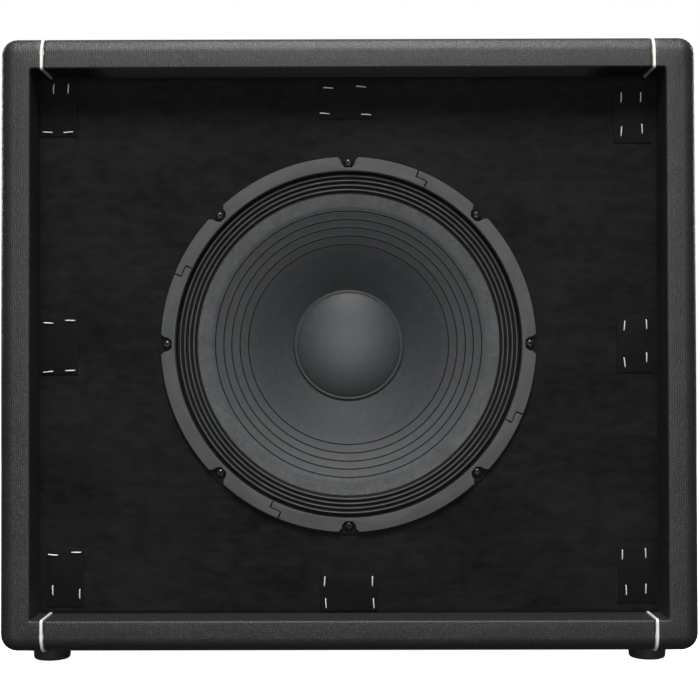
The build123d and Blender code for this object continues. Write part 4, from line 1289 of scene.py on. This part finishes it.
handle_cap("strap_cap_left", "handle_cap_left", -1)
handle_cap("strap_cap_right", "handle_cap_right", 1)
strap()
heads("strap_cap_screws", "handle_screws", (0, 0, 1),
      cross_head(5.0 * MM, 2.4 * MM, 2.6 * MM, 1.2 * MM, 1.6 * MM),
      NICKEL, 11, 2.4 * MM)


# ---------------------------------------------------------------- back panel fittings

def cup_washers():
    """Pressed nickel cups under the screws of the back panel."""
    cup = turned_piece([(2.4, 0), (8.0, 0), (8.0, 0.35), (6.2, 1.8), (5.2, 1.8), (4.4, 0.9), (2.4, 0.9)],
                       [0, 0, 0.15, 0.6, 0.3, 0.5, 0], turns=72)
    turn = Matrix.Rotation(math.radians(-90), 4, "X")
    parts = []
    for low, high in islands("back_panel_cup_washers"):
        centre = (low + high) / 2
        parts.append(placed(cup, Matrix.Translation((centre[0], back_outer, centre[2])) @ turn))
    add_mesh("screw_cups", *join(parts), NICKEL, "back_panel_cup_washers")


def jack_dish():
    """The pressed round-dished plate that carries the jack."""
    low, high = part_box("jack_plate")
    axis_x, axis_z = (low.x + high.x) / 2, (low.z + high.z) / 2
    half = (high.x - low.x) / 2
    turns = 192
    square = []
    for angle in full_turn(turns):
        c, s = math.cos(angle), math.sin(angle)
        square.append((abs(c) ** 18 + abs(s) ** 18) ** (-1 / 18) * half)
    rings = [("square", 1.0, 0.0), ("square", 1.0, -0.8), ("square", 0.992, -1.15), ("square", 0.9, -1.2),
             ("mix", 0.5, -1.2)]
    curve = rounded([(33.5, -1.2), (30.0, -1.2), (26.2, 17.6), (5.2, 17.6)], [0, 1.6, 3.5, 0], steps=8,
                    closed=False)
    rings += [("round", radius, depth) for radius, depth in curve]
    rings += [("round", 5.2, 18.8), ("round", 26.5, 18.8), ("round", 30.6, 1.0), ("round", 32, 0.0)]
    points = []
    for kind, size, depth in rings:
        for turn, angle in enumerate(full_turn(turns)):
            if kind == "square":
                reach = square[turn] * size
            elif kind == "mix":
                reach = square[turn] * 0.62 + 33.5 * MM * 0.38
            else:
                reach = size * MM
            points.append((axis_x + reach * math.cos(angle), back_outer - depth * MM,
                           axis_z + reach * math.sin(angle)))
    faces = grid_faces(len(rings), turns, loop_rows=True, loop_columns=True)
    add_mesh("dished_jack_plate", points, faces, BLACK_PLATE, "jack_plate", crease=35)
    return axis_x, axis_z


def jack_nut(axis_x, axis_z):
    """A washer and a hexagonal nut with rounded corners round the jack's threaded bush."""
    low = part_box("jack_nut")[0]
    washer = [(3.4, 0), (8.0, 0), (8.0, 0.8), (3.4, 0.8)]
    turn = Matrix.Translation((axis_x, low.y, axis_z)) @ Matrix.Rotation(math.radians(-90), 4, "X")
    ring = placed(turned_piece(washer, [0, 0.2, 0.2, 0], turns=72), turn)
    turns = 120
    points = []
    levels = [(0.8, 1.0), (2.0, 1.0), (2.45, 0.965), (2.8, 0.9)]
    for height, scale in levels:
        for angle in full_turn(turns):
            fold = (angle + math.pi / 6) % (math.pi / 3) - math.pi / 6
            flat = 6.235 / math.cos(fold)
            reach = min(flat, 7.0) * scale
            points.append((reach * MM * math.cos(angle), reach * MM * math.sin(angle), height * MM))
    for height in (2.8, 0.8):
        for angle in full_turn(turns):
            points.append((3.4 * MM * math.cos(angle), 3.4 * MM * math.sin(angle), height * MM))
    faces = grid_faces(len(levels) + 2, turns, loop_rows=True, loop_columns=True)
    nut = placed((points, faces), turn)
    points, faces = join([ring, nut])
    add_mesh("jack_hex_nut", points, faces, NICKEL, "jack_nut", crease=30)


cup_washers()
heads("back_panel_screw_heads", "back_panel_screws", (0, 1, 0),
      cross_head(4.6 * MM, 2.6 * MM, 2.4 * MM, 1.1 * MM, 1.5 * MM), BLACK_STEEL, 21, 2.6 * MM)
jack_nut(*jack_dish())
heads("jack_plate_screw_heads", "jack_plate_screws", (0, 1, 0),
      cross_head(3.4 * MM, 2.0 * MM, 1.9 * MM, 0.9 * MM, 1.2 * MM), BLACK_STEEL, 31, 2.0 * MM)


# ---------------------------------------------------------------- pieces shown as the frame has them

def carried_pieces():
    """Every CAD piece that is still shown gets the finish of its material slot."""
    finishes = {
        "plywood": PLYWOOD, "pine": PINE, "baffle_paint": BAFFLE, "vinyl": BACK_VINYL, "zinc_steel": ZINC,
        "basket_paint": BASKET, "ferrite": FERRITE, "former_film": FORMER, "copper_wire": COPPER,
        "phenolic_board": PHENOLIC, "tinned_brass": TINNED, "black_insulation": BLACK_LEAD,
        "red_insulation": RED_LEAD, "jack_plastic": JACK_BLACK,
    }
    for part in frame["record"]["subparts"]:
        node = frame["nodes"][part["node"]]
        if not node.hide_render:
            node.data.materials.clear()
            node.data.materials.append(finishes[part["material_slot"]].material)


carried_pieces()


# ---------------------------------------------------------------- camera, lights and floor

def studio_camera():
    data = bpy.data.cameras.new("camera")
    data.lens = 71.7
    data.sensor_width = 36
    data.clip_start, data.clip_end = 0.05, 60
    camera = bpy.data.objects.new("camera", data)
    bpy.context.scene.collection.objects.link(camera)
    camera.rotation_mode = "XYZ"
    pitch, roll, yaw = math.radians(90 + 0.837), math.radians(-0.143), math.radians(0.155)
    turn = Matrix.Rotation(yaw, 4, "Z") @ Matrix.Rotation(pitch, 4, "X") @ Matrix.Rotation(roll, 4, "Z")
    camera.matrix_world = Matrix.Translation((0.00427, -1.2515, 0.2418)) @ turn
    bpy.context.scene.camera = camera


FRONT_AIM = (0, -0.13, 0.26)


def area_light(name, place, aim, size, power):
    data = bpy.data.lights.new(name, "AREA")
    data.shape = "RECTANGLE"
    data.size, data.size_y = size
    data.energy = power
    light = bpy.data.objects.new(name, data)
    bpy.context.scene.collection.objects.link(light)
    light.location = place
    light.rotation_mode = "QUATERNION"
    light.rotation_quaternion = (Vector(aim) - Vector(place)).to_track_quat("-Z", "Y")


def studio():
    """A pale floor, a white surround that only the camera sees, and soft lights."""
    scene = bpy.context.scene
    scene.view_settings.view_transform = "Standard"
    world = bpy.data.worlds.new("studio")
    scene.world = world
    world.use_nodes = True
    tree = world.node_tree
    seen, dim = tree.nodes["Background"], tree.nodes.new("ShaderNodeBackground")
    seen.inputs[0].default_value, seen.inputs[1].default_value = (1, 1, 1, 1), 1.0
    dim.inputs[0].default_value, dim.inputs[1].default_value = (1, 1, 1, 1), 0.06
    mix = tree.nodes.new("ShaderNodeMixShader")
    ray = tree.nodes.new("ShaderNodeLightPath")
    tree.links.new(ray.outputs["Is Camera Ray"], mix.inputs[0])
    tree.links.new(dim.outputs[0], mix.inputs[1])
    tree.links.new(seen.outputs[0], mix.inputs[2])
    tree.links.new(mix.outputs[0], tree.nodes["World Output"].inputs[0])

    floor_mesh = bpy.data.meshes.new("floor")
    reach = 9.0
    floor_mesh.from_pydata([(-reach, -reach, 0), (reach, -reach, 0), (reach, reach, 0), (-reach, reach, 0)],
                           [],
                           [(0, 1, 2, 3)])
    paper = plain_finish("floor_paper", None, grey(0.86), grey(0.9), 40 * MM, (0.8, 0.9), 0.02 * MM,
                         Emission_Color=(1, 1, 1), Emission_Strength=1.0)
    floor_mesh.materials.append(paper.material)
    floor = bpy.data.objects.new("floor", floor_mesh)
    floor.visible_diffuse = False
    floor.visible_glossy = False
    scene.collection.objects.link(floor)

    area_light("front", (0, -4.1, 0.05), FRONT_AIM, (1.0, 1.0), 68)
    area_light("raised", (0, -3.34, 4.09), FRONT_AIM, (1.6, 1.9), 236)
    area_light("overhead", (0, -0.25, 2.5), FRONT_AIM, (0.8, 0.6), 28)
    for side in (-1, 1):
        area_light(f"flank_{side:+d}", (side * 0.97, -2.2, 0.66), FRONT_AIM, (0.6, 0.6), 2.6)
        area_light(f"rear_{side:+d}", (side * 1.9, 2.0, 1.1), (0, 0, 0.25), (1.0, 1.0), 40)


studio_camera()
studio()
